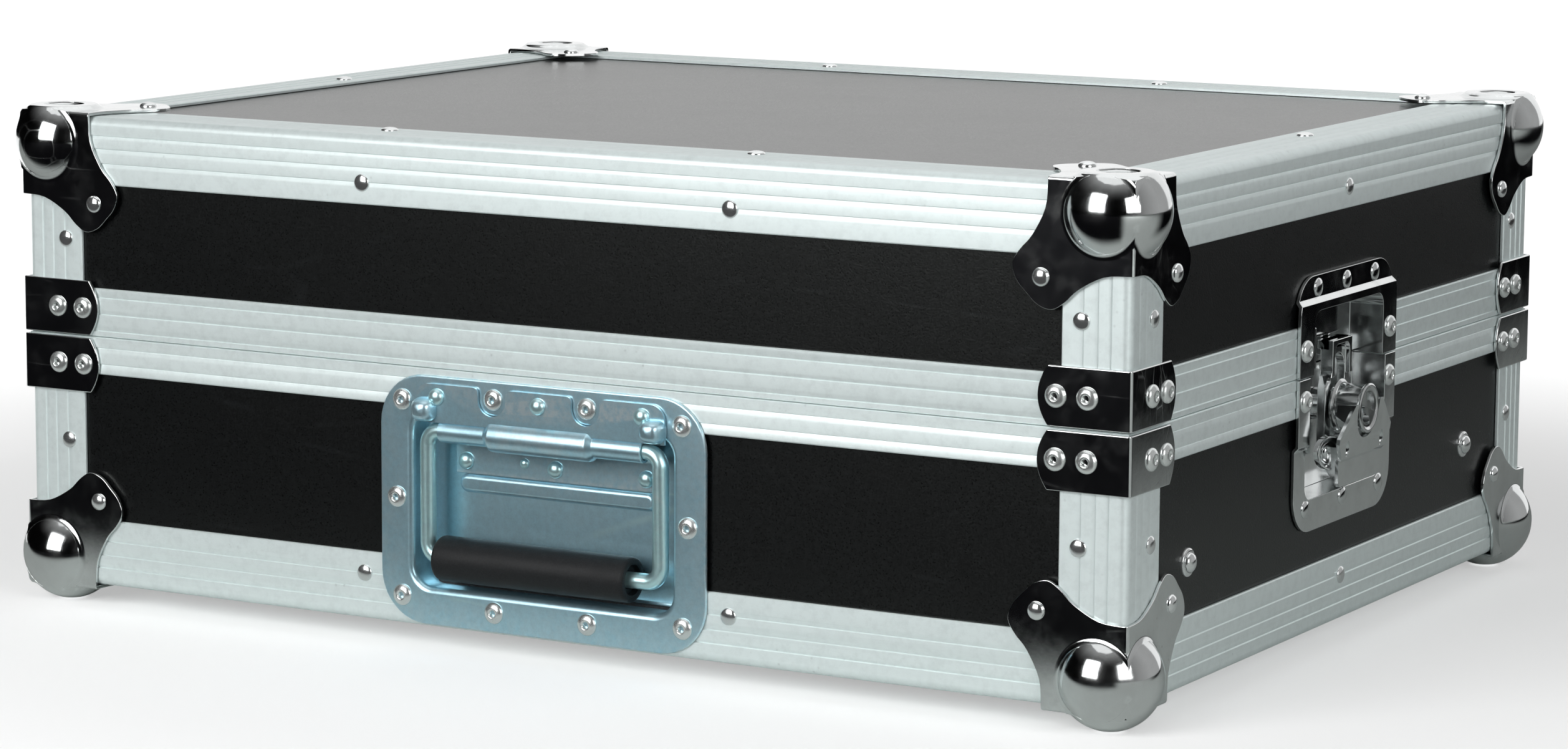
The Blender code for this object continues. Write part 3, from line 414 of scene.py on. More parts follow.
def shape_object(name, shape):
    """An object in the scene made from a bmesh, which is freed."""
    mesh = bpy.data.meshes.new(name)
    shape.to_mesh(mesh)
    shape.free()
    piece = bpy.data.objects.new(name, mesh)
    bpy.context.scene.collection.objects.link(piece)
    return piece


def new_piece(name, vertices, faces):
    """A mesh object with its faces turned outward."""
    shape = bmesh.new()
    made = [shape.verts.new(vertex) for vertex in vertices]
    for face in faces:
        shape.faces.new([made[index] for index in face])
    bmesh.ops.remove_doubles(shape, verts=shape.verts, dist=1e-7)
    bmesh.ops.recalc_face_normals(shape, faces=shape.faces)
    return shape_object(name, shape)


def prism(name, outline, low, high, place, order="uvw"):
    """An outline pushed from low to high along the third axis that order names."""
    vertices = []
    for level in (low, high):
        for first, second in outline:
            given = dict(zip(order, (first, second, level)))
            vertices.append(place(given["u"], given["v"], given["w"]))
    count = len(outline)
    faces = [list(range(count)), list(range(count, 2 * count))]
    for index in range(count):
        following = (index + 1) % count
        faces.append([index, following, following + count, index + count])
    return new_piece(name, vertices, faces)


def joined_rings(rings, is_closed=False, has_caps=True):
    """Vertices and faces of rings of points joined one to the next."""
    count = len(rings[0])
    vertices = [point for ring in rings for point in ring]
    faces = []
    for step in range(len(rings) if is_closed else len(rings) - 1):
        here, there = step * count, (step + 1) % len(rings) * count
        for index in range(count):
            following = (index + 1) % count
            faces.append([here + index, here + following, there + following, there + index])
    if has_caps and not is_closed:
        faces.append(list(range(count)))
        faces.append(list(range(len(vertices) - count, len(vertices))))
    return vertices, faces


def turned_rings(profile, centre, place, order, sides):
    rings = []
    for radius, level in profile:
        ring = []
        for index in range(sides):
            angle = 2 * math.pi * index / sides
            first = centre[0] + radius * math.cos(angle)
            second = centre[1] + radius * math.sin(angle)
            given = dict(zip(order, (first, second, level)))
            ring.append(place(given["u"], given["v"], given["w"]))
        rings.append(ring)
    return rings


def turned(name, profile, centre, place, order="uvw", sides=48, is_ring=False):
    """A profile of (radius, level) turned about the third axis of order."""
    rings = turned_rings(profile, centre, place, order, sides)
    return new_piece(name, *joined_rings(rings, is_ring))


def rod(name, path, radius, sides=20, is_closed=False):
    """A round bar along a path of points."""
    rings = []
    last = len(path) - 1
    side_way = None
    for index, point in enumerate(path):
        if is_closed:
            along = path[(index + 1) % len(path)] - path[index - 1]
        else:
            along = path[min(index + 1, last)] - path[max(index - 1, 0)]
        along.normalize()
        side_way = side_way or along.orthogonal()
        side_way = (side_way - along * side_way.dot(along)).normalized()
        other_way = along.cross(side_way)
        ring = []
        for step in range(sides):
            angle = 2 * math.pi * step / sides
            ring.append(point + radius * (math.cos(angle) * side_way + math.sin(angle) * other_way))
        rings.append(ring)
    return new_piece(name, *joined_rings(rings, is_closed))


def pillow(name, centre, halves, levels, place, steps=8, sides=32):
    """A bulging dome on a squarish base."""
    rings = []
    for step in range(steps + 1):
        rise = math.pi / 2 * step / steps
        share = max(math.cos(rise) ** 0.6, TIP)
        level = levels[0] + (levels[1] - levels[0]) * math.sin(rise)
        ring = []
        for index in range(sides):
            angle = 2 * math.pi * index / sides
            across, along = math.cos(angle), math.sin(angle)
            bulge = (abs(across) ** 3 + abs(along) ** 3) ** (-1 / 3)
            u = centre[0] + halves[0] * share * across * bulge
            v = centre[1] + halves[1] * share * along * bulge
            ring.append(place(u, v, level))
        rings.append(ring)
    return new_piece(name, *joined_rings(rings))


def baked(piece):
    """Turns the piece's modifiers into mesh."""
    bpy.context.view_layer.update()
    graph = bpy.context.evaluated_depsgraph_get()
    mesh = bpy.data.meshes.new_from_object(piece.evaluated_get(graph))
    piece.modifiers.clear()
    piece.data = mesh
    return piece


def combine(target, tool, operation):
    modifier = target.modifiers.new(operation, "BOOLEAN")
    modifier.operation = operation
    modifier.solver = "EXACT"
    modifier.object = tool
    baked(target)
    bpy.data.objects.remove(tool)
    if not target.data.polygons:
        raise RuntimeError(f"{target.name} lost all of its faces")
    return target


def add(target, tool):
    return combine(target, tool, "UNION")


def cut(target, tool):
    return combine(target, tool, "DIFFERENCE")


def keep(target, tool):
    return combine(target, tool, "INTERSECT")


def tidy_faces(piece):
    """Melts the edges that lie inside flat faces."""
    shape = bmesh.new()
    shape.from_mesh(piece.data)
    bmesh.ops.remove_doubles(shape, verts=shape.verts, dist=SAME_POINT)
    bmesh.ops.dissolve_limit(shape, angle_limit=SAME_FACE, verts=shape.verts, edges=shape.edges)
    shape.to_mesh(piece.data)
    shape.free()
    return piece


def soften(piece, width, segments=3, angle=32):
    """Rounds the piece's sharp edges."""
    tidy_faces(piece)
    modifier = piece.modifiers.new("Rounded edges", "BEVEL")
    modifier.width = width
    modifier.segments = segments
    modifier.limit_method = "ANGLE"
    modifier.angle_limit = math.radians(angle)
    modifier.miter_outer = "MITER_ARC"
    return baked(piece)


def smooth(piece, angle=38):
    """Shades the piece smooth, apart from edges sharper than the angle in degrees."""
    piece.data.shade_smooth()
    piece.data.set_sharp_from_angle(angle=math.radians(angle))
    modifier = piece.modifiers.new("Flat faces stay flat", "WEIGHTED_NORMAL")
    modifier.keep_sharp = True
    return piece


def fit(piece, material, body, nodes=()):
    """Gives a piece its material, its body and the nodes that it stands for."""
    piece.data.materials.clear()
    piece.data.materials.append(bpy.data.materials[material])
    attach(piece, body)
    if nodes:
        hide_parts(*nodes)
    return piece


def dress_node(name, material):
    """Gives one of the frame's own pieces a finish, and leaves its shape alone."""
    node = bpy.data.objects[name]
    node.data.materials.clear()
    node.data.materials.append(bpy.data.materials[material])


def studs(name, profile, spots, sides):
    """Many turned pieces of one profile, each at (place, u, v, level)."""
    vertices = []
    faces = []
    for place, u, v, level in spots:
        raised = [(radius, level + rise) for radius, rise in profile]
        rings = turned_rings(raised, (u, v), place, "uvw", sides)
        more, sheets = joined_rings(rings)
        faces += [[index + len(vertices) for index in face] for face in sheets]
        vertices += more
    return smooth(new_piece(name, vertices, faces), 50)


def dome(radius, height, sink=0.0004):
    """Profile of a domed head, with a low upright rim."""
    steps, rim, rise = 6, 0.08, 0.92
    points = [(radius, -sink), (radius, rim * height)]
    for step in range(1, steps + 1):
        angle = math.pi / 2 * step / steps
        across = max(radius * math.cos(angle), TIP * radius)
        points.append((across, height * (rim + rise * math.sin(angle))))
    return points


def pop_rivet(radius):
    """Profile of a blind rivet's head, with its hollow middle."""
    return [
        (radius, -0.0004),
        (radius, 0.0003),
        (0.95 * radius, 0.0008),
        (0.80 * radius, 0.0014),
        (0.58 * radius, 0.0018),
        (0.42 * radius, 0.0019),
        (0.34 * radius, 0.0017),
        (0.29 * radius, 0.0011),
        (0.26 * radius, -0.0001),
        (TIP * radius, -0.0003),
    ]


# Shader groups and materials


def add_node(tree, kind, settings=None, **inputs):
    """A node with its inputs set or linked; i0, i1 and so on name inputs by number."""
    node = tree.nodes.new(kind)
    for key, value in (settings or {}).items():
        setattr(node, key, value)
    for key, value in inputs.items():
        is_numbered = key.startswith("i")
        socket = node.inputs[int(key[1:]) if is_numbered else key.replace("_", " ")]
        if isinstance(value, bpy.types.NodeSocket):
            tree.links.new(value, socket)
        else:
            socket.default_value = value
    return node


def new_group(name, inputs, outputs):
    """A node group with its sockets: inputs are (name, type, default), outputs (name, type)."""
    group = bpy.data.node_groups.new(name, "ShaderNodeTree")
    for label, kind, default in inputs:
        socket = group.interface.new_socket(name=label, in_out="INPUT", socket_type=kind)
        if default is not None:
            socket.default_value = default
    for label, kind in outputs:
        group.interface.new_socket(name=label, in_out="OUTPUT", socket_type=kind)
    return group, group.nodes.new("NodeGroupInput"), group.nodes.new("NodeGroupOutput")


def maths(tree, operation, first, second):
    return add_node(tree, "ShaderNodeMath", {"operation": operation}, i0=first, i1=second).outputs[0]


def spread(tree, value, low, high):
    """Stretches low..high over 0..1."""
    return add_node(
        tree, "ShaderNodeMapRange", {"interpolation_type": "SMOOTHSTEP"}, Value=value, i1=low, i2=high
    ).outputs[0]


def noise(tree, vector, scale, detail, roughness=0.5):
    return add_node(
        tree, "ShaderNodeTexNoise", None, Vector=vector, Scale=scale, Detail=detail, Roughness=roughness
    ).outputs[0]


def inverse(tree, value):
    return maths(tree, "SUBTRACT", 1.0, value)


NUMBER = "NodeSocketFloat"
VECTOR = "NodeSocketVector"


def make_grain_group():
    """Fine pebbled grain with a softer, larger mottle."""
    group, given, out = new_group(
        "Pebbled Grain",
        (("Vector", VECTOR, None), ("Scale", NUMBER, 1500.0), ("Mottle", NUMBER, 60.0)),
        (("Grain", NUMBER), ("Mottle", NUMBER)),
    )
    vector, scale = given.outputs["Vector"], given.outputs["Scale"]
    cells = add_node(group, "ShaderNodeTexVoronoi", {"feature": "SMOOTH_F1"}, Vector=vector, Scale=scale)
    pebbles = maths(group, "MULTIPLY", cells.outputs["Distance"], 0.6)
    mixed = maths(group, "ADD", pebbles, noise(group, vector, scale, 3.0, 0.65))
    broad = noise(group, vector, given.outputs["Mottle"], 5.0, 0.6)
    group.links.new(spread(group, mixed, 0.45, 1.15), out.inputs["Grain"])
    group.links.new(spread(group, broad, 0.2, 0.8), out.inputs["Mottle"])
    return group


def make_lines_group():
    """Drawing or brushing lines: noise stretched along one axis."""
    group, given, out = new_group(
        "Drawn Lines",
        (("Vector", VECTOR, None), ("Stretch", VECTOR, (1.0, 1.0, 1.0)), ("Detail", NUMBER, 4.0)),
        (("Lines", NUMBER), ("Broad", NUMBER)),
    )
    vector, stretch = given.outputs["Vector"], given.outputs["Stretch"]
    scaled = add_node(group, "ShaderNodeVectorMath", {"operation": "MULTIPLY"}, i0=vector, i1=stretch)
    fine = noise(group, scaled.outputs[0], 1.0, given.outputs["Detail"], 0.7)
    broad = noise(group, scaled.outputs[0], 0.12, 2.0)
    group.links.new(spread(group, fine, 0.25, 0.75), out.inputs["Lines"])
    group.links.new(spread(group, broad, 0.3, 0.7), out.inputs["Broad"])
    return group


def make_wear_group():
    """Smudges, hairline scratches and small knocks from handling."""
    group, given, out = new_group(
        "Handling Wear",
        (("Vector", VECTOR, None), ("Smudge Scale", NUMBER, 45.0), ("Scratch Scale", NUMBER, 140.0)),
        (("Smudges", NUMBER), ("Scratches", NUMBER), ("Knocks", NUMBER)),
    )
    vector = given.outputs["Vector"]
    smudge = noise(group, vector, given.outputs["Smudge Scale"], 6.0, 0.62)
    warped = add_node(
        group, "ShaderNodeMapping", None, Vector=vector, Rotation=(0.7, 0.4, 1.1), Scale=(0.06, 1.0, 0.35)
    ).outputs[0]
    hairs = add_node(
        group,
        "ShaderNodeTexVoronoi",
        {"feature": "DISTANCE_TO_EDGE"},
        Vector=warped,
        Scale=given.outputs["Scratch Scale"],
    )
    near_hair = inverse(group, spread(group, hairs.outputs["Distance"], 0.0, 0.035))
    patch = noise(group, vector, 28.0, 2.0)
    hair = maths(group, "MULTIPLY", near_hair, spread(group, patch, 0.5, 0.72))
    spots = add_node(group, "ShaderNodeTexVoronoi", None, Vector=vector, Scale=190.0)
    near_spot = inverse(group, spread(group, spots.outputs["Distance"], 0.04, 0.16))
    knock = maths(group, "MULTIPLY", near_spot, spread(group, patch, 0.54, 0.66))
    group.links.new(spread(group, smudge, 0.42, 0.68), out.inputs["Smudges"])
    group.links.new(hair, out.inputs["Scratches"])
    group.links.new(knock, out.inputs["Knocks"])
    return group


def make_dust_group():
    """A little dust on faces that look up."""
    group, given, out = new_group(
        "Settled Dust",
        (("Vector", VECTOR, None), ("Amount", NUMBER, 0.2)),
        (("Dust", NUMBER),),
    )
    geometry = group.nodes.new("ShaderNodeNewGeometry")
    parts = add_node(group, "ShaderNodeSeparateXYZ", None, Vector=geometry.outputs["True Normal"])
    upward = spread(group, parts.outputs["Z"], 0.3, 1.0)
    specks = spread(group, noise(group, given.outputs["Vector"], 260.0, 6.0, 0.75), 0.4, 0.75)
    dust = maths(group, "MULTIPLY", upward, specks)
    group.links.new(maths(group, "MULTIPLY", dust, given.outputs["Amount"]), out.inputs["Dust"])
    return group


def make_edge_group():
    """Where edges stand out, for edges rubbed bright or dull."""
    group, given, out = new_group(
        "Rubbed Edges",
        (("Vector", VECTOR, None), ("Low", NUMBER, 0.51), ("High", NUMBER, 0.58)),
        (("Edges", NUMBER),),
    )
    sharp = group.nodes.new("ShaderNodeNewGeometry").outputs["Pointiness"]
    low, high = given.outputs["Low"], given.outputs["High"]
    raised = add_node(group, "ShaderNodeMapRange", None, Value=sharp, i1=low, i2=high).outputs[0]
    breaks = spread(group, noise(group, given.outputs["Vector"], 220.0, 4.0, 0.7), 0.3, 0.6)
    group.links.new(maths(group, "MULTIPLY", raised, breaks), out.inputs["Edges"])
    return group


GROUPS = (
    ("Pebbled Grain", make_grain_group),
    ("Drawn Lines", make_lines_group),
    ("Handling Wear", make_wear_group),
    ("Settled Dust", make_dust_group),
    ("Rubbed Edges", make_edge_group),
)


class Finish:
    """One material while its nodes are being laid."""

    def __init__(self, name, metallic=0.0, **values):
        if name in bpy.data.materials:
            raise RuntimeError(f"There is a material named {name} already")
        self.material = bpy.data.materials.new(name)
        self.material.use_nodes = True
        self.tree = self.material.node_tree
        self.shader = self.tree.nodes["Principled BSDF"]
        self.shader.inputs["Metallic"].default_value = metallic
        for key, value in values.items():
            self.shader.inputs[key.replace("_", " ")].default_value = value
        self.where = self.tree.nodes.new("ShaderNodeTexCoord").outputs["Object"]

    def group(self, name, **inputs):
        node = add_node(self.tree, "ShaderNodeGroup", {"node_tree": bpy.data.node_groups[name]}, **inputs)
        self.tree.links.new(self.where, node.inputs["Vector"])
        return node.outputs

    def blend(self, share, first, second):
        """A colour between two, by a mask."""
        node = add_node(self.tree, "ShaderNodeMix", {"data_type": "RGBA"}, i0=share, i6=first, i7=second)
        return node.outputs[2]

    def level(self, share, low, high):
        """A number between two, by a mask."""
        node = add_node(self.tree, "ShaderNodeMapRange", None, Value=share, i3=low, i4=high)
        return node.outputs[0]

    def sum(self, first, second):
        return maths(self.tree, "ADD", first, second)

    def weigh(self, value, share):
        return maths(self.tree, "MULTIPLY", value, share)

    def colour(self, socket):
        self.tree.links.new(socket, self.shader.inputs["Base Color"])

    def roughness(self, socket):
        self.tree.links.new(socket, self.shader.inputs["Roughness"])

    def bump(self, height, distance, strength=1.0):
        given = {"Height": height, "Distance": distance, "Strength": strength}
        node = add_node(self.tree, "ShaderNodeBump", None, **given)
        self.tree.links.new(node.outputs[0], self.shader.inputs["Normal"])


def shade(colour, share):
    """The same colour, darker or lighter."""
    return (*[min(1.0, part * share) for part in colour[:3]], 1.0)


def make_laminate(colour):
    """Black textured laminate on plywood."""
    finish = Finish("black_laminate", Specular_IOR_Level=0.45, Specular_Tint=(0.96, 1.0, 0.96, 1.0))
    grain = finish.group("Pebbled Grain", Scale=1300.0, Mottle=75.0)
    wear = finish.group("Handling Wear", Smudge_Scale=24.0, Scratch_Scale=90.0)
    dust = finish.group("Settled Dust", Amount=0.10)
    base = finish.blend(grain["Grain"], shade(colour, 0.4), shade(colour, 2.4))
    base = finish.blend(finish.weigh(grain["Mottle"], 0.15), base, shade(colour, 1.4))
    base = finish.blend(finish.weigh(wear["Scratches"], 0.25), base, shade(colour, 7.0))
    base = finish.blend(dust["Dust"], base, (0.30, 0.30, 0.28, 1.0))
    finish.colour(base)
    rough = finish.level(grain["Grain"], 0.27, 0.32)
    finish.roughness(finish.sum(rough, finish.weigh(wear["Smudges"], 0.006)))
    finish.bump(finish.sum(grain["Grain"], finish.weigh(wear["Scratches"], -0.6)), 0.00004, 0.5)


def make_aluminium(name, colour, stretch):
    """Satin anodised extrusion, with lines from the drawing die."""
    finish = Finish(name, metallic=0.42, Specular_IOR_Level=0.5)
    lines = finish.group("Drawn Lines", Stretch=stretch, Detail=5.0)
    wear = finish.group("Handling Wear", Smudge_Scale=30.0, Scratch_Scale=120.0)
    edges = finish.group("Rubbed Edges")
    base = finish.blend(lines["Lines"], shade(colour, 0.98), shade(colour, 1.01))
    base = finish.blend(finish.weigh(lines["Broad"], 0.15), base, shade(colour, 0.97))
    base = finish.blend(finish.weigh(wear["Smudges"], 0.04), base, shade(colour, 0.90))
    base = finish.blend(finish.weigh(wear["Knocks"], 0.5), base, shade(colour, 0.55))
    base = finish.blend(finish.weigh(edges["Edges"], 0.5), base, shade(colour, 1.15))
    finish.colour(base)
    rough = finish.level(lines["Lines"], 0.38, 0.41)
    finish.roughness(finish.sum(rough, finish.weigh(wear["Smudges"], 0.015)))
    height = finish.sum(finish.weigh(lines["Lines"], 0.35), finish.weigh(wear["Scratches"], -0.5))
    finish.bump(height, 0.00002, 0.15)


def make_chrome(name, colour, rough_low, rough_high, worn, metallic=1.0):
    """Bright plate over pressed steel, smudged and lightly scratched."""
    finish = Finish(name, metallic=metallic)
    wear = finish.group("Handling Wear", Smudge_Scale=70.0, Scratch_Scale=170.0)
    grain = finish.group("Pebbled Grain", Scale=900.0, Mottle=130.0)
    edges = finish.group("Rubbed Edges")
    base = finish.blend(finish.weigh(wear["Smudges"], 0.5), shade(colour, 1.0), shade(colour, 0.86))
    base = finish.blend(finish.weigh(wear["Knocks"], 0.6 * worn), base, shade(colour, 0.5))
    base = finish.blend(finish.weigh(edges["Edges"], 0.6), base, shade(colour, 1.2))
    finish.colour(base)
    rough = finish.level(wear["Smudges"], rough_low, rough_high)
    rough = finish.sum(rough, finish.weigh(wear["Scratches"], 0.16 * worn))
    finish.roughness(finish.sum(rough, finish.weigh(grain["Mottle"], 0.03)))
    height = finish.sum(finish.weigh(grain["Mottle"], 0.6), finish.weigh(wear["Scratches"], -0.5 * worn))
    finish.bump(height, 0.00004, 0.35)


def make_zinc(name, colour, rough_low, rough_high):
    """Blue-passivated zinc plate, with its fine cloudy grain."""
    finish = Finish(name, metallic=0.85)
    grain = finish.group("Pebbled Grain", Scale=1500.0, Mottle=420.0)
    clouds = finish.group("Pebbled Grain", Scale=600.0, Mottle=55.0)
    wear = finish.group("Handling Wear", Smudge_Scale=38.0, Scratch_Scale=110.0)
    edges = finish.group("Rubbed Edges")
    base = finish.blend(grain["Mottle"], shade(colour, 0.90), shade(colour, 1.08))
    base = finish.blend(finish.weigh(grain["Grain"], 0.30), base, shade(colour, 1.25))
    base = finish.blend(finish.weigh(clouds["Mottle"], 0.30), base, (0.52, 0.66, 0.72, 1.0))
    base = finish.blend(finish.weigh(wear["Scratches"], 0.45), base, shade(colour, 1.6))
    base = finish.blend(finish.weigh(edges["Edges"], 0.7), base, (0.84, 0.93, 0.96, 1.0))
    finish.colour(base)
    finish.roughness(finish.level(grain["Mottle"], rough_low, rough_high))
    height = finish.sum(finish.weigh(grain["Grain"], 0.5), finish.weigh(clouds["Mottle"], 0.3))
    finish.bump(height, 0.00004, 0.12)


def make_rubber(colour):
    """Moulded black sleeve, a little shiny where hands rub it."""
    finish = Finish("sleeve_rubber", Specular_IOR_Level=0.28)
    grain = finish.group("Pebbled Grain", Scale=1500.0, Mottle=90.0)
    wear = finish.group("Handling Wear", Smudge_Scale=55.0, Scratch_Scale=150.0)
    dust = finish.group("Settled Dust", Amount=0.05)
    base = finish.blend(grain["Grain"], shade(colour, 0.7), shade(colour, 1.4))
    base = finish.blend(finish.weigh(wear["Scratches"], 0.3), base, shade(colour, 5.0))
    base = finish.blend(dust["Dust"], base, (0.16, 0.16, 0.16, 1.0))
    finish.colour(base)
    rough = finish.level(wear["Smudges"], 0.48, 0.56)
    finish.roughness(finish.sum(rough, finish.weigh(grain["Grain"], 0.05)))
    finish.bump(grain["Grain"], 0.00005, 0.4)


def make_foam(colour):
    """Closed-cell foam with a skin of small cells."""
    finish = Finish("cell_foam", Specular_IOR_Level=0.25)
    grain = finish.group("Pebbled Grain", Scale=900.0, Mottle=35.0)
    dust = finish.group("Settled Dust", Amount=0.2)
    base = finish.blend(grain["Grain"], shade(colour, 0.6), shade(colour, 1.5))
    base = finish.blend(finish.weigh(grain["Mottle"], 0.3), base, shade(colour, 1.35))
    base = finish.blend(dust["Dust"], base, (0.14, 0.14, 0.14, 1.0))
    finish.colour(base)
    finish.roughness(finish.level(grain["Grain"], 0.82, 0.98))
    finish.bump(grain["Grain"], 0.00025, 0.8)


def make_steel(colour):
    """Zinc-plated sheet steel of the rack strips."""
    finish = Finish("strip_steel", metallic=1.0)
    lines = finish.group("Drawn Lines", Stretch=(300.0, 14.0, 300.0), Detail=4.0)
    grain = finish.group("Pebbled Grain", Scale=800.0, Mottle=160.0)
    edges = finish.group("Rubbed Edges")
    base = finish.blend(lines["Lines"], shade(colour, 0.85), shade(colour, 1.1))
    base = finish.blend(finish.weigh(grain["Mottle"], 0.4), base, shade(colour, 0.8))
    base = finish.blend(edges["Edges"], base, shade(colour, 1.4))
    finish.colour(base)
    finish.roughness(finish.level(grain["Mottle"], 0.32, 0.46))
    finish.bump(finish.weigh(lines["Lines"], 0.5), 0.00003, 0.4)


def make_floor(colour):
    """Plain pale paper, which turns white away from the case."""
    finish = Finish("floor_paper", Specular_IOR_Level=0.2, Emission_Strength=1.0)
    grain = finish.group("Pebbled Grain", Scale=400.0, Mottle=3.0)
    base = finish.blend(grain["Mottle"], shade(colour, 0.985), shade(colour, 1.0))
    finish.colour(finish.blend(finish.weigh(grain["Grain"], 0.2), base, shade(colour, 0.97)))
    finish.roughness(finish.level(grain["Grain"], 0.75, 0.9))
    finish.bump(grain["Grain"], 0.0001, 0.2)
    reach = add_node(finish.tree, "ShaderNodeVectorMath", {"operation": "LENGTH"}, i0=finish.where).outputs[1]
    away = spread(finish.tree, reach, 0.35, 1.1)
    glow = finish.weigh(finish.level(away, 0.42, 1.0), seen_directly(finish.tree))
    finish.tree.links.new(glow, finish.shader.inputs["Emission Color"])


def make_cards():
    """Finishes of the cards that only reflections show.

    The ground is grey near the case, and black in front of it and behind it. The curtains are black, with a
    faint glow high up and toward the back right.
    """
    ground = Finish("ground_card", Specular_IOR_Level=0.0, Roughness=1.0)
    parts = add_node(ground.tree, "ShaderNodeSeparateXYZ", None, Vector=ground.where).outputs
    in_front = ground.sum(ground.weigh(parts["Y"], -1.0), -HALF_DEPTH)
    beside = ground.sum(parts["X"], -HALF_WIDTH)
    bearing = maths(ground.tree, "ARCTAN2", beside, in_front)
    ahead = inverse(ground.tree, spread(ground.tree, bearing, math.radians(28), math.radians(46)))
    behind = spread(ground.tree, bearing, math.radians(110), math.radians(138))
    forward = maths(ground.tree, "MULTIPLY", spread(ground.tree, in_front, 0.05, 0.16), ahead)
    sideways = maths(ground.tree, "MULTIPLY", spread(ground.tree, beside, 0.16, 0.36), behind)
    away = maths(ground.tree, "MAXIMUM", forward, sideways)
    ground.colour(ground.blend(away, (0.70, 0.74, 0.72, 1.0), (0.006, 0.006, 0.007, 1.0)))
    curtain = Finish("curtain_card", Specular_IOR_Level=0.0, Roughness=1.0, Emission_Strength=1.0)
    curtain.shader.inputs["Base Color"].default_value = (0.006, 0.006, 0.006, 1.0)
    parts = add_node(curtain.tree, "ShaderNodeSeparateXYZ", None, Vector=curtain.where).outputs
    upward = curtain.weigh(spread(curtain.tree, parts["Z"], 1.8, ROOM_HEIGHT), 0.30)
    across = curtain.sum(curtain.weigh(parts["X"], 0.8), curtain.weigh(parts["Y"], 0.6))
    backward = curtain.weigh(spread(curtain.tree, across, 0.1 * ROOM_REACH, 1.1 * ROOM_REACH), 0.42)
    glow = maths(curtain.tree, "MAXIMUM", upward, backward)
    curtain.tree.links.new(glow, curtain.shader.inputs["Emission Color"])


# Extrusions


def banded(bands, depth, end):
    """Outer face of a leg, as (along, in): each band has a thin groove, a sunk floor and a gentle ramp."""
    points = []
    floor = BAND_FLOOR * depth
    for near, far in bands:
        points += [(near, 0.0), (near + GROOVE_BOTTOM * depth, depth), (near + GROOVE_END * depth, floor)]
        points += [(far - BAND_RAMP, floor), (far, 0.0)]
    lip = SHEET / 3
    return points + [(end - lip, 0.0), (end, lip), (end, SHEET)]


def angle(name, place, start, end, sizes):
    """An edge angle with sunk bands and a rounded outer edge, mitred at its ends."""
    bend = sizes.edge_round
    half = arc((bend, bend), bend, 225, 270, 4) + banded(EDGE_BANDS, sizes.band_depth, LEG)
    half.append((SHEET, SHEET))
    other = [(c, b) for b, c in half]
    count = len(half)
    vertices = [place(edge(b, c), b, c) for edge in (start, end) for b, c in half + other]
    faces = []
    for first in (0, 2 * count):
        faces.append(list(range(first, first + count)))
        faces.append(list(range(first + count, first + 2 * count)))
    for first in (0, count):
        for index in range(first, first + count - 1):
            faces.append([index, index + 1, index + 1 + 2 * count, index + 2 * count])
    return new_piece(name, vertices, faces)


def mitre(b, c):
    return max(b, c) + FIT / 2


def dish_outline(more):
    half = DISH_HALF + more
    return rounded_box(-half, half, DISH_LOW - more, DISH_HIGH + more, DISH_ROUND + more, DISH_ROUND + more)


def handle_room():
    more = SHEET + CLEAR
    return prism("room", dish_outline(more), -DISH_DEPTH - more, FAR_PAST, front)


def latch_room(place, is_lid):
    more = THIN + CLEAR
    half = (UPPER_HALF if is_lid else LOWER_HALF) + more
    low = SPLIT - FAR_PAST if is_lid else LOWER_LOW - more
    high = UPPER_HIGH + more if is_lid else SPLIT + FAR_PAST
    return prism("room", square(-half, half, low, high), -LATCH_DEPTH - 2 * THIN - CLEAR, FAR_PAST, place)


def build_extrusions(prefix, is_top, reach, sizes):
    """The four edges and four posts of the base or of the lid."""
    for label, y_sign in (("front", -1), ("back", 1)):
        place = reordered(corner(-1, y_sign, is_top), "abc")
        name = f"{prefix}_edge_{label}"
        piece = angle(name + "_angle", place, mitre, lambda b, c: 2 * HALF_WIDTH - mitre(b, c), sizes)
        if name == "base_edge_front":
            cut(piece, handle_room())
        fit(smooth(piece, EXTRUSION_CREASE), "extrusion_x", prefix, [name])
    for label, x_sign in (("left", -1), ("right", 1)):
        place = reordered(corner(x_sign, -1, is_top), "bac")
        name = f"{prefix}_edge_{label}"
        piece = angle(name + "_angle", place, mitre, lambda b, c: 2 * HALF_DEPTH - mitre(b, c), sizes)
        fit(smooth(piece, EXTRUSION_CREASE), "extrusion_y", prefix, [name])
    for label, x_sign, y_sign in CORNERS:
        place = reordered(corner(x_sign, y_sign, is_top), "cab")
        name = f"{prefix}_post_{label}"
        piece = angle(name + "_angle", place, mitre, lambda b, c: reach, sizes)
        fit(smooth(piece, EXTRUSION_CREASE), "extrusion_z", prefix, [name])


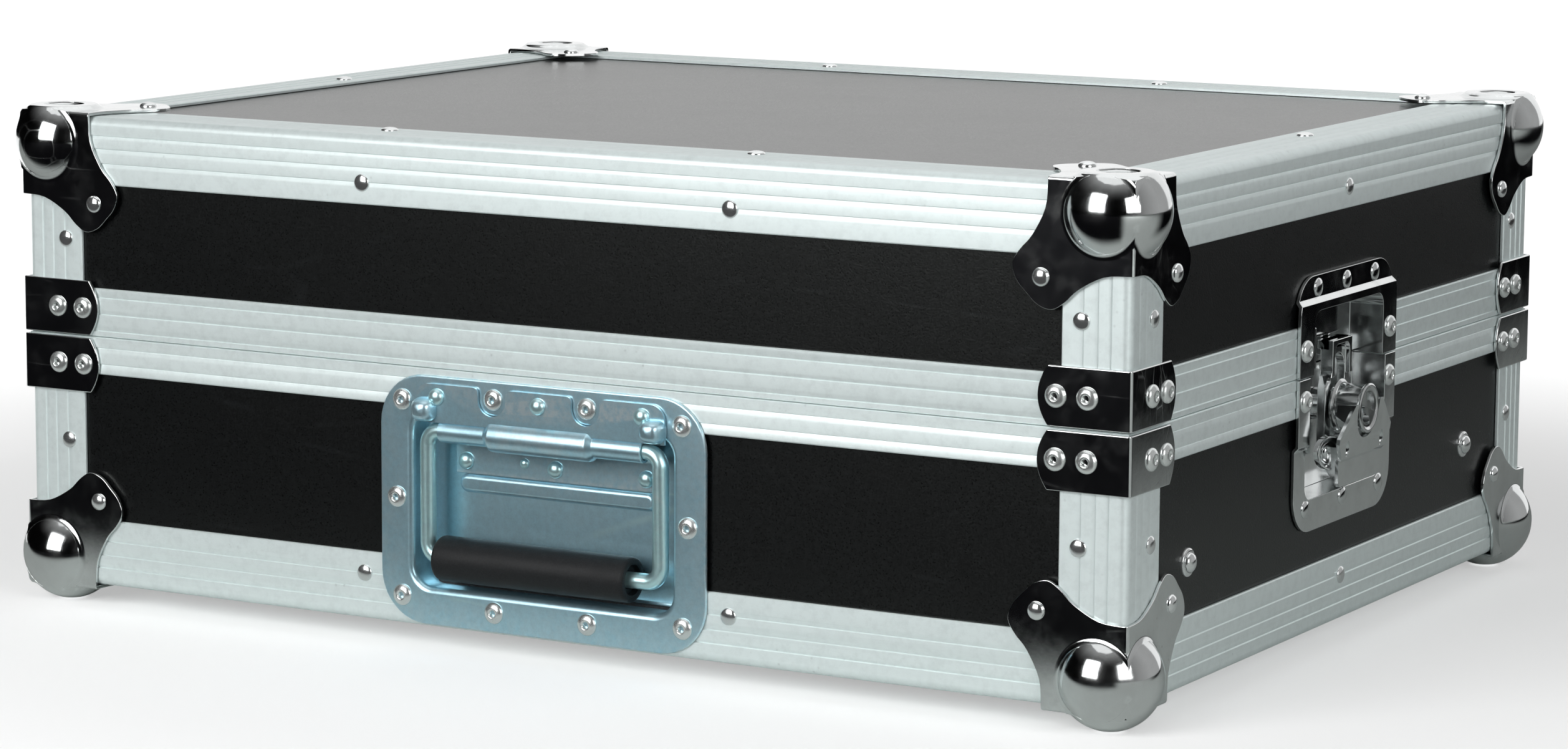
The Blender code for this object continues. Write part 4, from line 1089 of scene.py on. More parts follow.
def rim_sections(sizes):
    """Sections of the closing extrusions of base and lid, as (in, height)."""
    middle = RIM_IN / 2
    tongue, groove, tall = 0.0015, 0.0019, 0.0040
    low = SPLIT - BASE_RIM_LEG
    face = [(depth, SPLIT - along) for along, depth in banded(BASE_RIM_BANDS, sizes.band_depth, BASE_RIM_LEG)]
    base = [(SHEET / 3, SPLIT), (0.0, SPLIT - SHEET / 3)] + face
    base += [
        (SHEET, SPLIT - SHEET),
        (RIM_SLOT, SPLIT - SHEET),
        (RIM_SLOT, low),
        (RIM_IN, low),
        (RIM_IN, SPLIT),
        (middle + tongue, SPLIT),
        (middle + tongue, SPLIT + tall - SHEET / 2),
        (middle + tongue - SHEET / 2, SPLIT + tall),
        (middle - tongue + SHEET / 2, SPLIT + tall),
        (middle - tongue, SPLIT + tall - SHEET / 2),
        (middle - tongue, SPLIT),
    ]
    low = SPLIT + FIT
    roof = SPLIT + tall + 0.0004
    face = [(depth, SPLIT + along) for along, depth in banded(LID_RIM_BANDS, sizes.band_depth, LID_RIM_LEG)]
    lid = [(SHEET / 3, low), (0.0, low + SHEET / 3)] + face
    lid += [
        (SHEET, roof + SHEET),
        (RIM_SLOT, roof + SHEET),
        (RIM_SLOT, SPLIT + LID_RIM_LEG),
        (RIM_IN, SPLIT + LID_RIM_LEG),
        (RIM_IN, low),
        (middle + groove, low),
        (middle + groove, roof),
        (middle - groove, roof),
        (middle - groove, low),
    ]
    return base, lid


def build_rims(sizes):
    """The closing extrusions on both sides of the split, open where the latches are."""
    base, lid = rim_sections(sizes)
    for prefix, section, half in (("base", base, LOWER_HALF), ("lid", lid, UPPER_HALF)):
        gap = half + THIN + CLEAR
        for label, y_sign in (("front", -1), ("back", 1)):
            rings = []
            for x_sign, is_end in ((1, True), (1, False), (-1, False), (-1, True)):
                ring = []
                for u, v in section:
                    reach = gap if is_end else HALF_DEPTH - u
                    ring.append(Vector((x_sign * (HALF_WIDTH - u), y_sign * reach, GROUND + v)))
                rings.append(ring)
            name = f"{prefix}_rim_{label}"
            piece = new_piece(name + "_channel", *joined_rings(rings))
            fit(smooth(piece, EXTRUSION_CREASE), "extrusion_rim", prefix, [name])


# Corners


def own(a, b, c):
    """A corner's own frame, in which its pieces are made before they are placed."""
    return Vector((a, b, c))


def round_bends(piece, lines, radius):
    """Rounds the edges that lie where two outer faces meet; lines are pairs of axes."""
    shape = bmesh.new()
    shape.from_mesh(piece.data)
    bends = []
    for edge in shape.edges:
        for pair in lines:
            places = [end.co[axis] for end in edge.verts for axis in pair]
            if all(abs(place + PLATE_FACE) < IN_FACE for place in places):
                bends.append(edge)
                break
    bmesh.ops.bevel(shape, geom=bends, offset=radius, segments=4, profile=0.5, affect="EDGES")
    shape.to_mesh(piece.data)
    shape.free()
    return piece


def lobed_outline():
    low = -PLATE_FACE
    half = list(LOBE) + [(q, p) for p, q in reversed(LOBE[:-1])]
    return [(low, low), (LOBE[0][0], low)] + flowing(half, 4) + [(low, LOBE[0][0])]


def ball_profile(is_top):
    """Half round of the ball, from its top; the lid's has a flat with a round recess."""
    radius, centre = BALL_RADIUS, BALL_INSET
    points = []
    for step in range(33):
        turn = math.pi * step / 32
        across = max(radius * math.sin(turn), 0.0002)
        points.append((across, centre - radius * math.cos(turn)))
    if not is_top:
        return points
    edge = math.sqrt(radius**2 - (centre - BALL_FLAT) ** 2)
    floor = BALL_FLAT + BALL_RECESS
    recess = [
        (0.0002, floor),
        (0.0030, floor),
        (0.0078, floor),
        (0.0083, floor - 0.0001),
        (0.0087, floor - 0.0005),
        (0.0089, BALL_FLAT + 0.0002),
        (0.0094, BALL_FLAT),
        (edge - 0.0012, BALL_FLAT),
        (edge - 0.0003, BALL_FLAT + 0.0001),
        (edge + 0.0005, BALL_FLAT + 0.0006),
    ]
    return recess + [point for point in points if point[1] > floor]


def fillet_ring(order, fillet):
    """The soft ring between the ball and one plate, mitred where it meets its neighbours."""
    depth = BALL_INSET + PLATE_FACE
    reach = math.sqrt((BALL_RADIUS + fillet) ** 2 - (depth + fillet) ** 2)
    tilt = math.degrees(math.atan2(depth + fillet, reach))
    sink = 0.0004
    profile = [(reach, sink)] + [(r, -h) for r, h in arc((reach, fillet), fillet, 270, 180 + tilt, 7)]
    inner = profile[-1][0] - 0.0012
    profile += [(inner, profile[-1][1] + 0.0006), (inner, sink)]
    profile = [(radius, level - PLATE_FACE) for radius, level in profile]
    ring = turned("fillet", profile, (BALL_INSET, BALL_INSET), own, order, 96, True)
    vertices = []
    far = 2 * FAR_PAST
    for level in (-0.008, 0.0):
        for first, second in ((level, level), (far, level), (far, far), (level, far)):
            given = dict(zip(order, (first, second, level)))
            vertices.append(own(given["u"], given["v"], given["w"]))
    faces = [(0, 1, 2, 3), (4, 5, 6, 7)] + [(i, (i + 1) % 4, (i + 1) % 4 + 4, i + 4) for i in range(4)]
    return keep(ring, new_piece("wedge", vertices, faces))


def room_inside():
    """What a ball corner must leave free inside the three outer faces."""
    far = 4 * FAR_PAST
    return prism("inside", square(-FIT, far, -FIT, far), -FIT, far, own)


def corner_shell(is_top, sizes):
    """A ball corner in its own corner frame."""
    outline = lobed_outline()
    plates = prism("plates", outline, -PLATE_FACE, SHEET, own, "uvw")
    add(plates, prism("side", outline, -PLATE_FACE, SHEET, own, "uwv"))
    add(plates, prism("side", outline, -PLATE_FACE, SHEET, own, "vwu"))
    hidden = square(-FAR_PAST, PLATES_HIDDEN, -FAR_PAST, PLATES_HIDDEN)
    cut(plates, prism("hidden", hidden, -FAR_PAST, PLATES_HIDDEN, own))
    round_bends(tidy_faces(plates), ((0, 1), (1, 2), (0, 2)), sizes.bend)
    cut(plates, room_inside())
    soften(plates, sizes.plate_edge)
    ball = turned("ball", ball_profile(is_top), (BALL_INSET, BALL_INSET), own, "uvw", 64)
    cut(ball, room_inside())
    add(plates, ball)
    for order in ("uvw", "vwu", "wuv"):
        add(plates, fillet_ring(order, sizes.ball_fillet))
    return plates


def placed_copy(name, shell, place, is_mirrored):
    """The shell's mesh moved into a corner of the case."""
    shape = bmesh.new()
    shape.from_mesh(shell.data)
    for vertex in shape.verts:
        vertex.co = place(*vertex.co)
    if is_mirrored:
        bmesh.ops.reverse_faces(shape, faces=shape.faces)
    return shape_object(name, shape)


def build_ball_corners(sizes):
    for prefix, is_top in (("base", False), ("lid", True)):
        shell = corner_shell(is_top, sizes)
        for label, x_sign, y_sign in CORNERS:
            name = f"{prefix}_ball_{label}"
            is_mirrored = (x_sign * y_sign < 0) != is_top
            piece = placed_copy(name + "_corner", shell, corner(x_sign, y_sign, is_top), is_mirrored)
            fit(smooth(piece), "corner_chrome", prefix, [name])
        bpy.data.objects.remove(shell)


def brace_shell(outline, low, sizes):
    """A bent plate with bowed ends, in a corner's own frame."""
    high = low + BRACE_HEIGHT
    shell = prism("shell", square(-PLATE_FACE, BRACE_LEG, -PLATE_FACE, BRACE_LEG), low, high, own)
    round_bends(shell, ((0, 1),), sizes.bend)
    far = 2 * FAR_PAST
    cut(shell, prism("inside", square(-FIT, far, -FIT, far), low - FAR_PAST, high + FAR_PAST, own))
    keep(shell, prism("end", outline, -FAR_PAST, far, own, "uwv"))
    keep(shell, prism("end", outline, -FAR_PAST, far, own, "vwu"))
    return soften(shell, sizes.plate_edge)


def build_braces(sizes):
    """Bent corner plates with bowed ends, beside the split."""
    for prefix, low in (("base", SPLIT - BRACE_GAP - BRACE_HEIGHT), ("lid", SPLIT + BRACE_GAP)):
        middle = low + BRACE_HEIGHT / 2
        bow = []
        for step in range(17):
            share = step / 8 - 1
            bow.append((BRACE_LEG - BRACE_BOW * share**2, middle + share * BRACE_HEIGHT / 2))
        outline = [(-PLATE_FACE, low)] + bow + [(-PLATE_FACE, low + BRACE_HEIGHT)]
        shell = brace_shell(outline, low, sizes)
        for label, x_sign, y_sign in CORNERS:
            name = f"{prefix}_brace_{label}"
            piece = placed_copy(name + "_plate", shell, corner(x_sign, y_sign, False), x_sign * y_sign > 0)
            fit(smooth(piece), "corner_chrome", prefix, [name])
        bpy.data.objects.remove(shell)


# Handle


def plate_ring(half, low, high, rounding, w, steps=10):
    return [front(u, v, w) for u, v in rounded_box(-half, half, low, high, rounding, rounding, steps)]


def build_handle_plate(sizes):
    """Flange plate with rolled edge, pressed dish and stiffening bead."""
    rings = []
    for more, w in ((0.0, FIT), (0.0, 0.0011), (-0.0003, 0.0016), (-0.0009, PLATE_FACE)):
        low, high = HANDLE_LOW - more, HANDLE_TOP + more
        rings.append(plate_ring(HANDLE_HALF + more, low, high, HANDLE_ROUND + more, w))
    outer, inner = sizes.dish_fillet, 0.0025
    walls = []
    for step in range(7):
        turn = math.radians(15 * step)
        walls.append((outer * (1 - math.sin(turn)), PLATE_FACE - outer * (1 - math.cos(turn))))
    for step in range(1, 7):
        turn = math.radians(15 * step)
        walls.append((-inner * (1 - math.cos(turn)), -DISH_DEPTH + inner * (1 - math.sin(turn))))
    for more, w in walls:
        rings.append(plate_ring(DISH_HALF + more, DISH_LOW - more, DISH_HIGH + more, DISH_ROUND + more, w))
    vertices, faces = joined_rings(rings, has_caps=False)
    faces.append(list(range(len(vertices) - len(rings[0]), len(vertices))))
    plate = new_piece("handle_plate", vertices, faces)
    if plate.data.polygons[-1].normal.y > 0:
        plate.data.flip_normals()
    solid = plate.modifiers.new("Sheet", "SOLIDIFY")
    solid.thickness = THIN
    solid.offset = -1
    baked(plate)
    rings = []
    for more, w in BEAD_LEVELS:
        rounding = (BEAD_HIGH - BEAD_LOW) / 2 - more - 0.0002
        rings.append(plate_ring(BEAD_HALF - more, BEAD_LOW + more, BEAD_HIGH - more, rounding, w, 6))
    add(plate, new_piece("bead", *joined_rings(rings)))
    fit(smooth(plate), "blue_zinc", "base", ["handle_dish"])


def cover_outline():
    """The hinge cover's edge, scalloped round two of the plate's rivets."""
    half, low, high = DISH_HALF - 0.0025, DISH_HIGH - 0.003, HANDLE_TOP - 0.0032
    rivet_u, rivet_v, scallop, flare = 0.0233, HANDLE_TOP - 0.008, 0.007, 0.0022
    right = arc((rivet_u - scallop - flare, high - flare), flare, 90, 0, 4)
    right += arc((rivet_u, rivet_v), scallop, 180, 360, 14)
    right += arc((rivet_u + scallop + flare, high - flare), flare, 180, 90, 4)
    right += arc((half - 0.007, high - 0.007), 0.007, 90, 0, 8)
    right += [(half, low)]
    return mirrored(right)


def straight_bar(profile, sides=40):
    return turned("bar", profile, (BAIL_V, BAIL_W), front, "vwu", sides)


def build_handle_cover(sizes):
    """Cover, eyes, barrels and the strip on the dish floor, pressed from one sheet."""
    cover = prism("handle_hinge_cover", cover_outline(), COVER_W, COVER_W + THIN, front)
    small, big, reach, chamfer = BARREL_SMALL, BARREL_BIG, BARREL_REACH, 0.0003
    half = [(small, 0.0272), (small + chamfer, 0.0264), (big - chamfer, 0.0248), (big, 0.0238)]
    barrel = [(small - chamfer, -reach), (small, -reach + chamfer)]
    barrel += [(r, -u) for r, u in half] + half[::-1]
    barrel += [(small, reach - chamfer), (small - chamfer, reach)]
    add(cover, straight_bar(barrel))
    start = (BAIL_W - 0.88 * small, BAIL_V - 0.2 * small)
    below = (BAIL_W - 0.0092, BAIL_V - 0.0052)
    bend = flowing([start, below, (STRIP_FACE, BAIL_V - 0.0105), (STRIP_FACE, BAIL_V - 0.019)], 5)
    add(cover, prism("strip", ribbon(bend, THIN), -0.050, 0.050, front, "wvu"))
    bore = BAIL_ROD + 0.00035
    cut(cover, straight_bar([(bore, -0.06), (bore, 0.06)]))
    soften(cover, sizes.zinc_edge, 2, 40)
    for sign in (-1, 1):
        add(cover, pillow("eye", (sign * EYE_U, EYE_V), EYE_HALVES, (COVER_W, EYE_TOP), front))
    fit(smooth(cover, 45), "blue_zinc", "base", ["handle_cover"])


def build_bail():
    """The closed wire bail with its sleeve."""
    corners = (
        (BAIL_HALF, BAIL_V, -1, -1, 0),
        (-BAIL_HALF, BAIL_V, 1, -1, 90),
        (-BAIL_HALF, BAIL_LOW, 1, 1, 180),
        (BAIL_HALF, BAIL_LOW, -1, 1, 270),
    )
    path = []
    for u, v, to_u, to_v, start in corners:
        centre = (u + to_u * BAIL_BEND, v + to_v * BAIL_BEND)
        path += [front(x, z, BAIL_W) for x, z in arc(centre, BAIL_BEND, start, start + 90, 12)]
    bail = rod("handle_wire_bail", path, BAIL_ROD, 24, True)
    # The bail's finish is the zinc painted lighter: painted brightness that stands in for the wire's bright
    # reflections.
    fit(smooth(bail), "zinc_wire", "handle_bail", ["handle_bail"])
    radius, bore = GRIP_RADIUS, BAIL_ROD + FIT
    end = [
        (bore, GRIP_HALF - 0.0030),
        (bore + 0.0022, GRIP_HALF - 0.0030),
        (bore + 0.0026, GRIP_HALF - 0.0024),
        (bore + 0.0028, GRIP_HALF - 0.0004),
        (bore + 0.0033, GRIP_HALF),
        (radius - 0.0016, GRIP_HALF),
        (radius - 0.0007, GRIP_HALF - 0.0003),
        (radius - 0.0002, GRIP_HALF - 0.0009),
        (radius, GRIP_HALF - 0.0018),
    ]
    profile = [(r, GRIP_SHIFT - u) for r, u in end] + [(r, GRIP_SHIFT + u) for r, u in end[::-1]]
    grip = turned("handle_sleeve", profile, (BAIL_LOW, BAIL_W), front, "vwu", 56, True)
    fit(smooth(grip), "sleeve_rubber", "handle_bail", ["handle_grip"])


# Latches


def stepped_plate(name, place, low, high, step_at, raised_below, rounds):
    """A plate that lies over the extrusion and steps in to the panel."""
    outline = rounded_box(-LATCH_HALF, LATCH_HALF, low, high, rounds[0], rounds[1], 10)
    over, under = PLATE_FACE, PLATE_FACE - PANEL_FACE
    if raised_below:
        surface = [(over, low - PAST), (over, step_at), (under, step_at + STEP_RUN), (under, high + PAST)]
    else:
        surface = [(under, low - PAST), (under, step_at - STEP_RUN), (over, step_at), (over, high + PAST)]
    plate = prism(name, outline, -PAST, PAST, place)
    sheet = ribbon(surface[::-1], SHEET)
    return keep(plate, prism("sheet", sheet, -2 * LATCH_HALF, 2 * LATCH_HALF, place, "wvu"))


def build_latch_dish(label, place, sizes):
    """Lower half of the latch's dish, with the bearing of the spindle in its floor."""
    high = SPLIT - FIT
    plate = stepped_plate(
        f"{label}_latch_lower_dish", place, LATCH_LOW, high, LOWER_STEP, False, (LATCH_ROUND, 0)
    )
    floor = -LATCH_DEPTH - THIN
    thick = LOWER_HALF + THIN
    outer = rounded_box(-thick, thick, LOWER_LOW - THIN, high, LATCH_DISH_OUTER, 0)
    add(plate, prism("dish", outer, floor, PLATE_FACE - PANEL_FACE, place))
    for sign in (-1, 1):
        near, far = sorted((sign * (LOWER_HALF - 0.001), sign * thick))
        web = square(near, far, LOWER_STEP - STEP_RUN, high)
        add(plate, prism("web", web, -SHEET, FIT + SHEET / 2, place))
    inner = rounded_box(-LOWER_HALF, LOWER_HALF, LOWER_LOW, high + PAST, LATCH_DISH_INNER, 0)
    cut(plate, prism("pocket", inner, -LATCH_DEPTH, FAR_PAST, place))
    bearing = [(BEARING_RADIUS, floor - PAST), (BEARING_RADIUS, PAST)]
    cut(plate, turned("bearing", bearing, (0, SPINDLE_V), place, sides=24))
    soften(plate, sizes.latch_edge)
    fit(smooth(plate), "latch_chrome", "base", [f"{label}_latch_dish"])


def build_latch_catch(label, place, sizes):
    """Upper half of the dish, with the keeper and the fluted block."""
    low = SPLIT + FIT
    plate = stepped_plate(
        f"{label}_latch_upper_dish", place, low, LATCH_HIGH, UPPER_STEP, True, (0, LATCH_ROUND)
    )
    floor = -LATCH_DEPTH - THIN
    thick = UPPER_HALF + THIN
    outer = rounded_box(-thick, thick, low, UPPER_HIGH + THIN, 0, LATCH_DISH_OUTER)
    add(plate, prism("dish", outer, floor, FIT + SHEET / 2, place))
    inner = rounded_box(-UPPER_HALF, UPPER_HALF, low - PAST, UPPER_HIGH, 0, LATCH_DISH_INNER)
    cut(plate, prism("pocket", inner, -LATCH_DEPTH, FAR_PAST, place))
    root = floor + THIN / 2
    high = KEEPER_LOW + HOOD_TALL
    hood = rounded_box(-HOOD_HALF, HOOD_HALF, KEEPER_LOW, high, 0, THIN, 4)
    add(plate, prism("hood", hood, root, KEEPER_W, place))
    mouth = square(-MOUTH_HALF, MOUTH_HALF, KEEPER_LOW - PAST, high - SHEET)
    cut(plate, prism("mouth", mouth, -LATCH_DEPTH, KEEPER_W - SHEET, place))
    for middle in KEEPER_POSTS:
        post = square(middle - POST_HALF, middle + POST_HALF, KEEPER_LOW - POST_BELOW, high - SHEET / 2)
        add(plate, prism("post", post, root, KEEPER_W - SHEET / 2, place))
    edge = -UPPER_HALF
    last = edge + FLUTED_WIDE + SHEET / 2
    outline = [(edge - THIN / 2, root), (last, root), (last, FLUTE_RISE)]
    for flute in range(3):
        centre = last - FLUTE_PITCH * (flute + 0.5)
        outline += arc((centre, FLUTE_RISE), FLUTE_RADIUS, 0, 180, 8)
    outline.append((edge - THIN / 2, FLUTE_RISE))
    add(plate, prism("flutes", outline, FLUTED_LOW, FLUTED_HIGH, place, "uwv"))
    soften(plate, sizes.latch_edge)
    fit(smooth(plate), "latch_chrome", "lid", [f"{label}_latch_catch"])


def build_latch_spindle(label, place):
    """Drum with flared collar and a head with two kidney slots."""
    centre = (0, SPINDLE_V)
    collar = HOOK_W + 2 * FIT
    out = 0.012
    profile = [
        (0.0036, -LATCH_DEPTH - THIN - FIT),
        (0.0036, -LATCH_DEPTH + FIT),
        (0.0070, -LATCH_DEPTH + FIT),
        (0.0070, collar),
        (0.0112, collar),
        (0.0117, collar + 0.0004),
        (0.0117, collar + 0.0012),
        (0.0113, collar + 0.0016),
        (0.0104, collar + 0.0020),
        (0.0100, collar + 0.0030),
        (0.0100, out - 0.0022),
        (0.0105, out - 0.0017),
        (0.0108, out - 0.0010),
        (0.0107, out - 0.0004),
        (0.0102, out - 0.0001),
        (0.0096, out),
        (0.0090, out - 0.0002),
        (0.0086, out - 0.0007),
        (0.0083, out - 0.0009),
        (0.0002, out - 0.0009),
    ]
    piece = turned(f"{label}_latch_drum", profile, centre, place, sides=64)
    for start in KIDNEY_STARTS:
        end = start + KIDNEY_SPAN
        kidney = arc(centre, 0.0071, start, end, 14) + arc(centre, 0.0034, end, start, 10)
        cut(piece, prism("kidney", rounded(kidney, 0.0012), out - 0.0030, out + FAR_PAST, place))
    hole = [(PIN_HOLE_RADIUS, -FAR_PAST), (PIN_HOLE_RADIUS, FAR_PAST)]
    cut(piece, turned("hole", hole, (SPINDLE_V, FOLD_W), place, "vwu", 24))
    fit(smooth(piece), "spindle_steel", f"{label}_spindle", [f"{label}_latch_spindle"])


def build_latch_hook(label, place, sizes):
    """Slotted hook: a shallow box with raised rim, open below."""
    half, top_half = HOOK_HALF, HOOK_TOP_HALF
    shoulder, neck = SPINDLE_V + 0.0094, SPINDLE_V + 0.0164
    outline = mirrored([(half, HOOK_LOW), (half, shoulder), (top_half, neck), (top_half, HOOK_TOP)])
    plate = prism(f"{label}_latch_slotted_hook", outline, HOOK_W - HOOK_THICK, HOOK_W, place)
    rim_low = shoulder + 0.004
    flank = half + (top_half - half) * (rim_low - shoulder) / (neck - shoulder)
    rim = mirrored([(flank, rim_low), (top_half, neck), (top_half, HOOK_TOP)])
    add(plate, prism("rim", rim, HOOK_W - HOOK_THICK / 2, HOOK_W + HOOK_RISE, place))
    inner = top_half - 0.0024
    crown = HOOK_TOP - 0.0062
    arch = mirrored([(inner, rim_low - 0.004)] + arc((inner - 0.004, crown), 0.004, 0, 78, 6))
    cut(plate, prism("arch", arch, HOOK_W, FAR_PAST, place))
    nose = square(-top_half, top_half, HOOK_TOP - 0.004, HOOK_TOP)
    add(plate, prism("nose", nose, KEEPER_W + 0.0004, HOOK_W, place))
    slot = arc((0, SPINDLE_V - 0.0094), HOOK_SLOT, 180, 360, 20)
    slot += arc((0, SPINDLE_V + 0.0155), HOOK_SLOT, 0, 180, 20)
    cut(plate, prism("slot", slot, -FAR_PAST, FAR_PAST, place))
    soften(plate, sizes.latch_edge)
    fit(smooth(plate), "latch_chrome", f"{label}_hook", [f"{label}_latch_hook"])


def over_spindle(points):
    return [(first, SPINDLE_V + second) for first, second in points]


def ear_profile():
    """A cupped ear of concentric rims."""
    low = WING_BACK
    return [
        (0.0069, low),
        (0.0075, low + 0.0006),
        (0.0075, 0.0026),
        (0.0072, 0.0031),
        (0.0067, 0.0032),
        (0.0063, 0.0028),
        (0.0061, 0.0012),
        (0.0056, 0.0009),
        (0.0053, 0.0017),
        (0.0048, 0.0021),
        (0.0043, 0.0017),
        (0.0040, 0.0007),
        (0.0032, 0.0003),
        (0.0027, 0.0009),
        (0.0020, 0.0013),
        (0.0002, 0.0014),
    ]


def build_latch_wing(label, place, sizes):
    """Folding wing: a bent plate with a U round the head, side flanges, cheeks, pins and cupped ears."""
    surface = [(0.0120, 0.0029), (0.0116, 0.0004), (0.0093, -0.0196), (0.0079, -0.0212), (0.0074, -0.0320)]
    throat = arc((0, -0.0012), 0.0116, 270, 360, 12)
    edge = [
        (0.0116, 0.0029),
        (0.0150, 0.0029),
        (0.0280, -0.0101),
        (0.0280, -0.0126),
        (0.0245, -0.0181),
        (0.0235, -0.0206),
        (0.0226, -0.0301),
        (0.0205, -0.0320),
    ]
    outline = mirrored(throat[1:] + edge) + throat[:1]
    sheet = ribbon(over_spindle(surface), 0.0016)
    wing = prism(f"{label}_latch_folding_wing", sheet, -LATCH_HALF, LATCH_HALF, place, "wvu")
    keep(wing, prism("outline", over_spindle(outline), -FAR_PAST, FAR_PAST, place))
    cheek = [(0.0106, 0.0026), (0.0025, 0.0024), (0.0020, -0.0026), (0.0050, -0.0046), (0.0090, -0.0066)]
    cheek = over_spindle(cheek)
    tail = [(0.0068, -0.0314), (0.0060, -0.0306), (WING_BACK + 0.001, -0.0231), (WING_BACK, -0.0221)]
    tail = over_spindle(tail + [(WING_BACK, -0.0146), (0.0086, -0.0146)])
    for sign in (-1, 1):
        near, far = sorted(sign * end for end in CHEEK_SPAN)
        add(wing, prism("cheek", cheek, near, far, place, "wvu"))
        near, far = sorted(sign * end for end in TAIL_SPAN)
        add(wing, prism("tail", tail, near, far, place, "wvu"))
        dimple = [(0.0026, 0.0090), (0.0026, FAR_PAST)]
        tool = turned("dimple", dimple, (sign * DIMPLE_U, DIMPLE_V), place, sides=24)
        middle = Matrix.Translation((0, 0, GROUND + DIMPLE_V))
        tool.data.transform(middle @ Matrix.Diagonal((1, 0.75, 1.35, 1)) @ middle.inverted())
        shift = place(sign * DIMPLE_U, 0, 0).y * 0.25
        tool.data.transform(Matrix.Translation((0, shift, 0)))
        cut(wing, tool)
    soften(wing, sizes.latch_edge)
    for sign in (-1, 1):
        near, far = sorted(sign * end for end in PIN_SPAN)
        pin = [(PIN_RADIUS, near), (PIN_RADIUS, far)]
        add(wing, turned("pin", pin, (SPINDLE_V, FOLD_W), place, "vwu", 24))
        profile = [(radius, level + EAR_LIFT) for radius, level in ear_profile()]
        ear = turned("ear", profile, (sign * EAR_U, EAR_V), place, sides=40)
        pivot = Matrix.Translation(place(sign * EAR_U, EAR_V, 0.0010 + EAR_LIFT))
        ear.data.transform(pivot @ Matrix.Rotation(sign * EAR_TURN, 4, "Z") @ pivot.inverted())
        add(wing, ear)
    fit(smooth(wing), "latch_chrome", f"{label}_wing", [f"{label}_latch_wing"])


# Fasteners


def edge_rivet_spots(is_top):
    """Where the domed rivets of the base's or the lid's extrusions sit."""
    up = HEIGHT - EDGE_RIVET_DOWN if is_top else EDGE_RIVET_UP
    post = POST_RIVET_LID if is_top else POST_RIVET_BASE
    flat = top if is_top else bottom
    spots = []
    for sign in (-1, 1):
        for place in (front, back):
            spots.append((place, sign * EDGE_RIVET_U, up, 0.0))
            spots.append((place, sign * (HALF_WIDTH - POST_RIVET_IN), post, 0.0))
        for y_sign in (-1, 1):
            spots.append((flat, sign * EDGE_RIVET_U, y_sign * (HALF_DEPTH - FLAT_RIVET_IN), 0.0))
            spots.append((side(sign), y_sign * (HALF_DEPTH - POST_RIVET_IN), post, 0.0))
        spots.append((side(sign), 0.0, up, 0.0))
        spots.append((flat, sign * (HALF_WIDTH - SHORT_RIVET_IN), 0.0, 0.0))
    return spots


def lobe_rivet_spots(is_top):
    """Where the ball corners' rivets sit, one on each lobe."""
    v = HEIGHT - LOBE_RIVET if is_top else LOBE_RIVET
    flat = top if is_top else bottom
    across, deep = HALF_WIDTH - LOBE_RIVET, HALF_DEPTH - LOBE_RIVET
    spots = []
    for sign in (-1, 1):
        spots += [(place, sign * across, v, PLATE_FACE) for place in (front, back)]
        for y_sign in (-1, 1):
            spots.append((side(sign), y_sign * deep, v, PLATE_FACE))
            spots.append((flat, sign * across, y_sign * deep, PLATE_FACE))
    return spots


def brace_rivet_spots(v):
    spots = []
    for sign in (-1, 1):
        for inset in BRACE_RIVETS:
            spots += [(place, sign * (HALF_WIDTH - inset), v, PLATE_FACE) for place in (front, back)]
            spots += [(side(s), sign * (HALF_DEPTH - inset), v, PLATE_FACE) for s in (-1, 1)]
    return spots


def row(place, reach, v, level, has_middle=True):
    """Spots at one height: one on each side of the middle, and one on it."""
    return [(place, u, v, level) for u in ((-reach, 0.0, reach) if has_middle else (-reach, reach))]


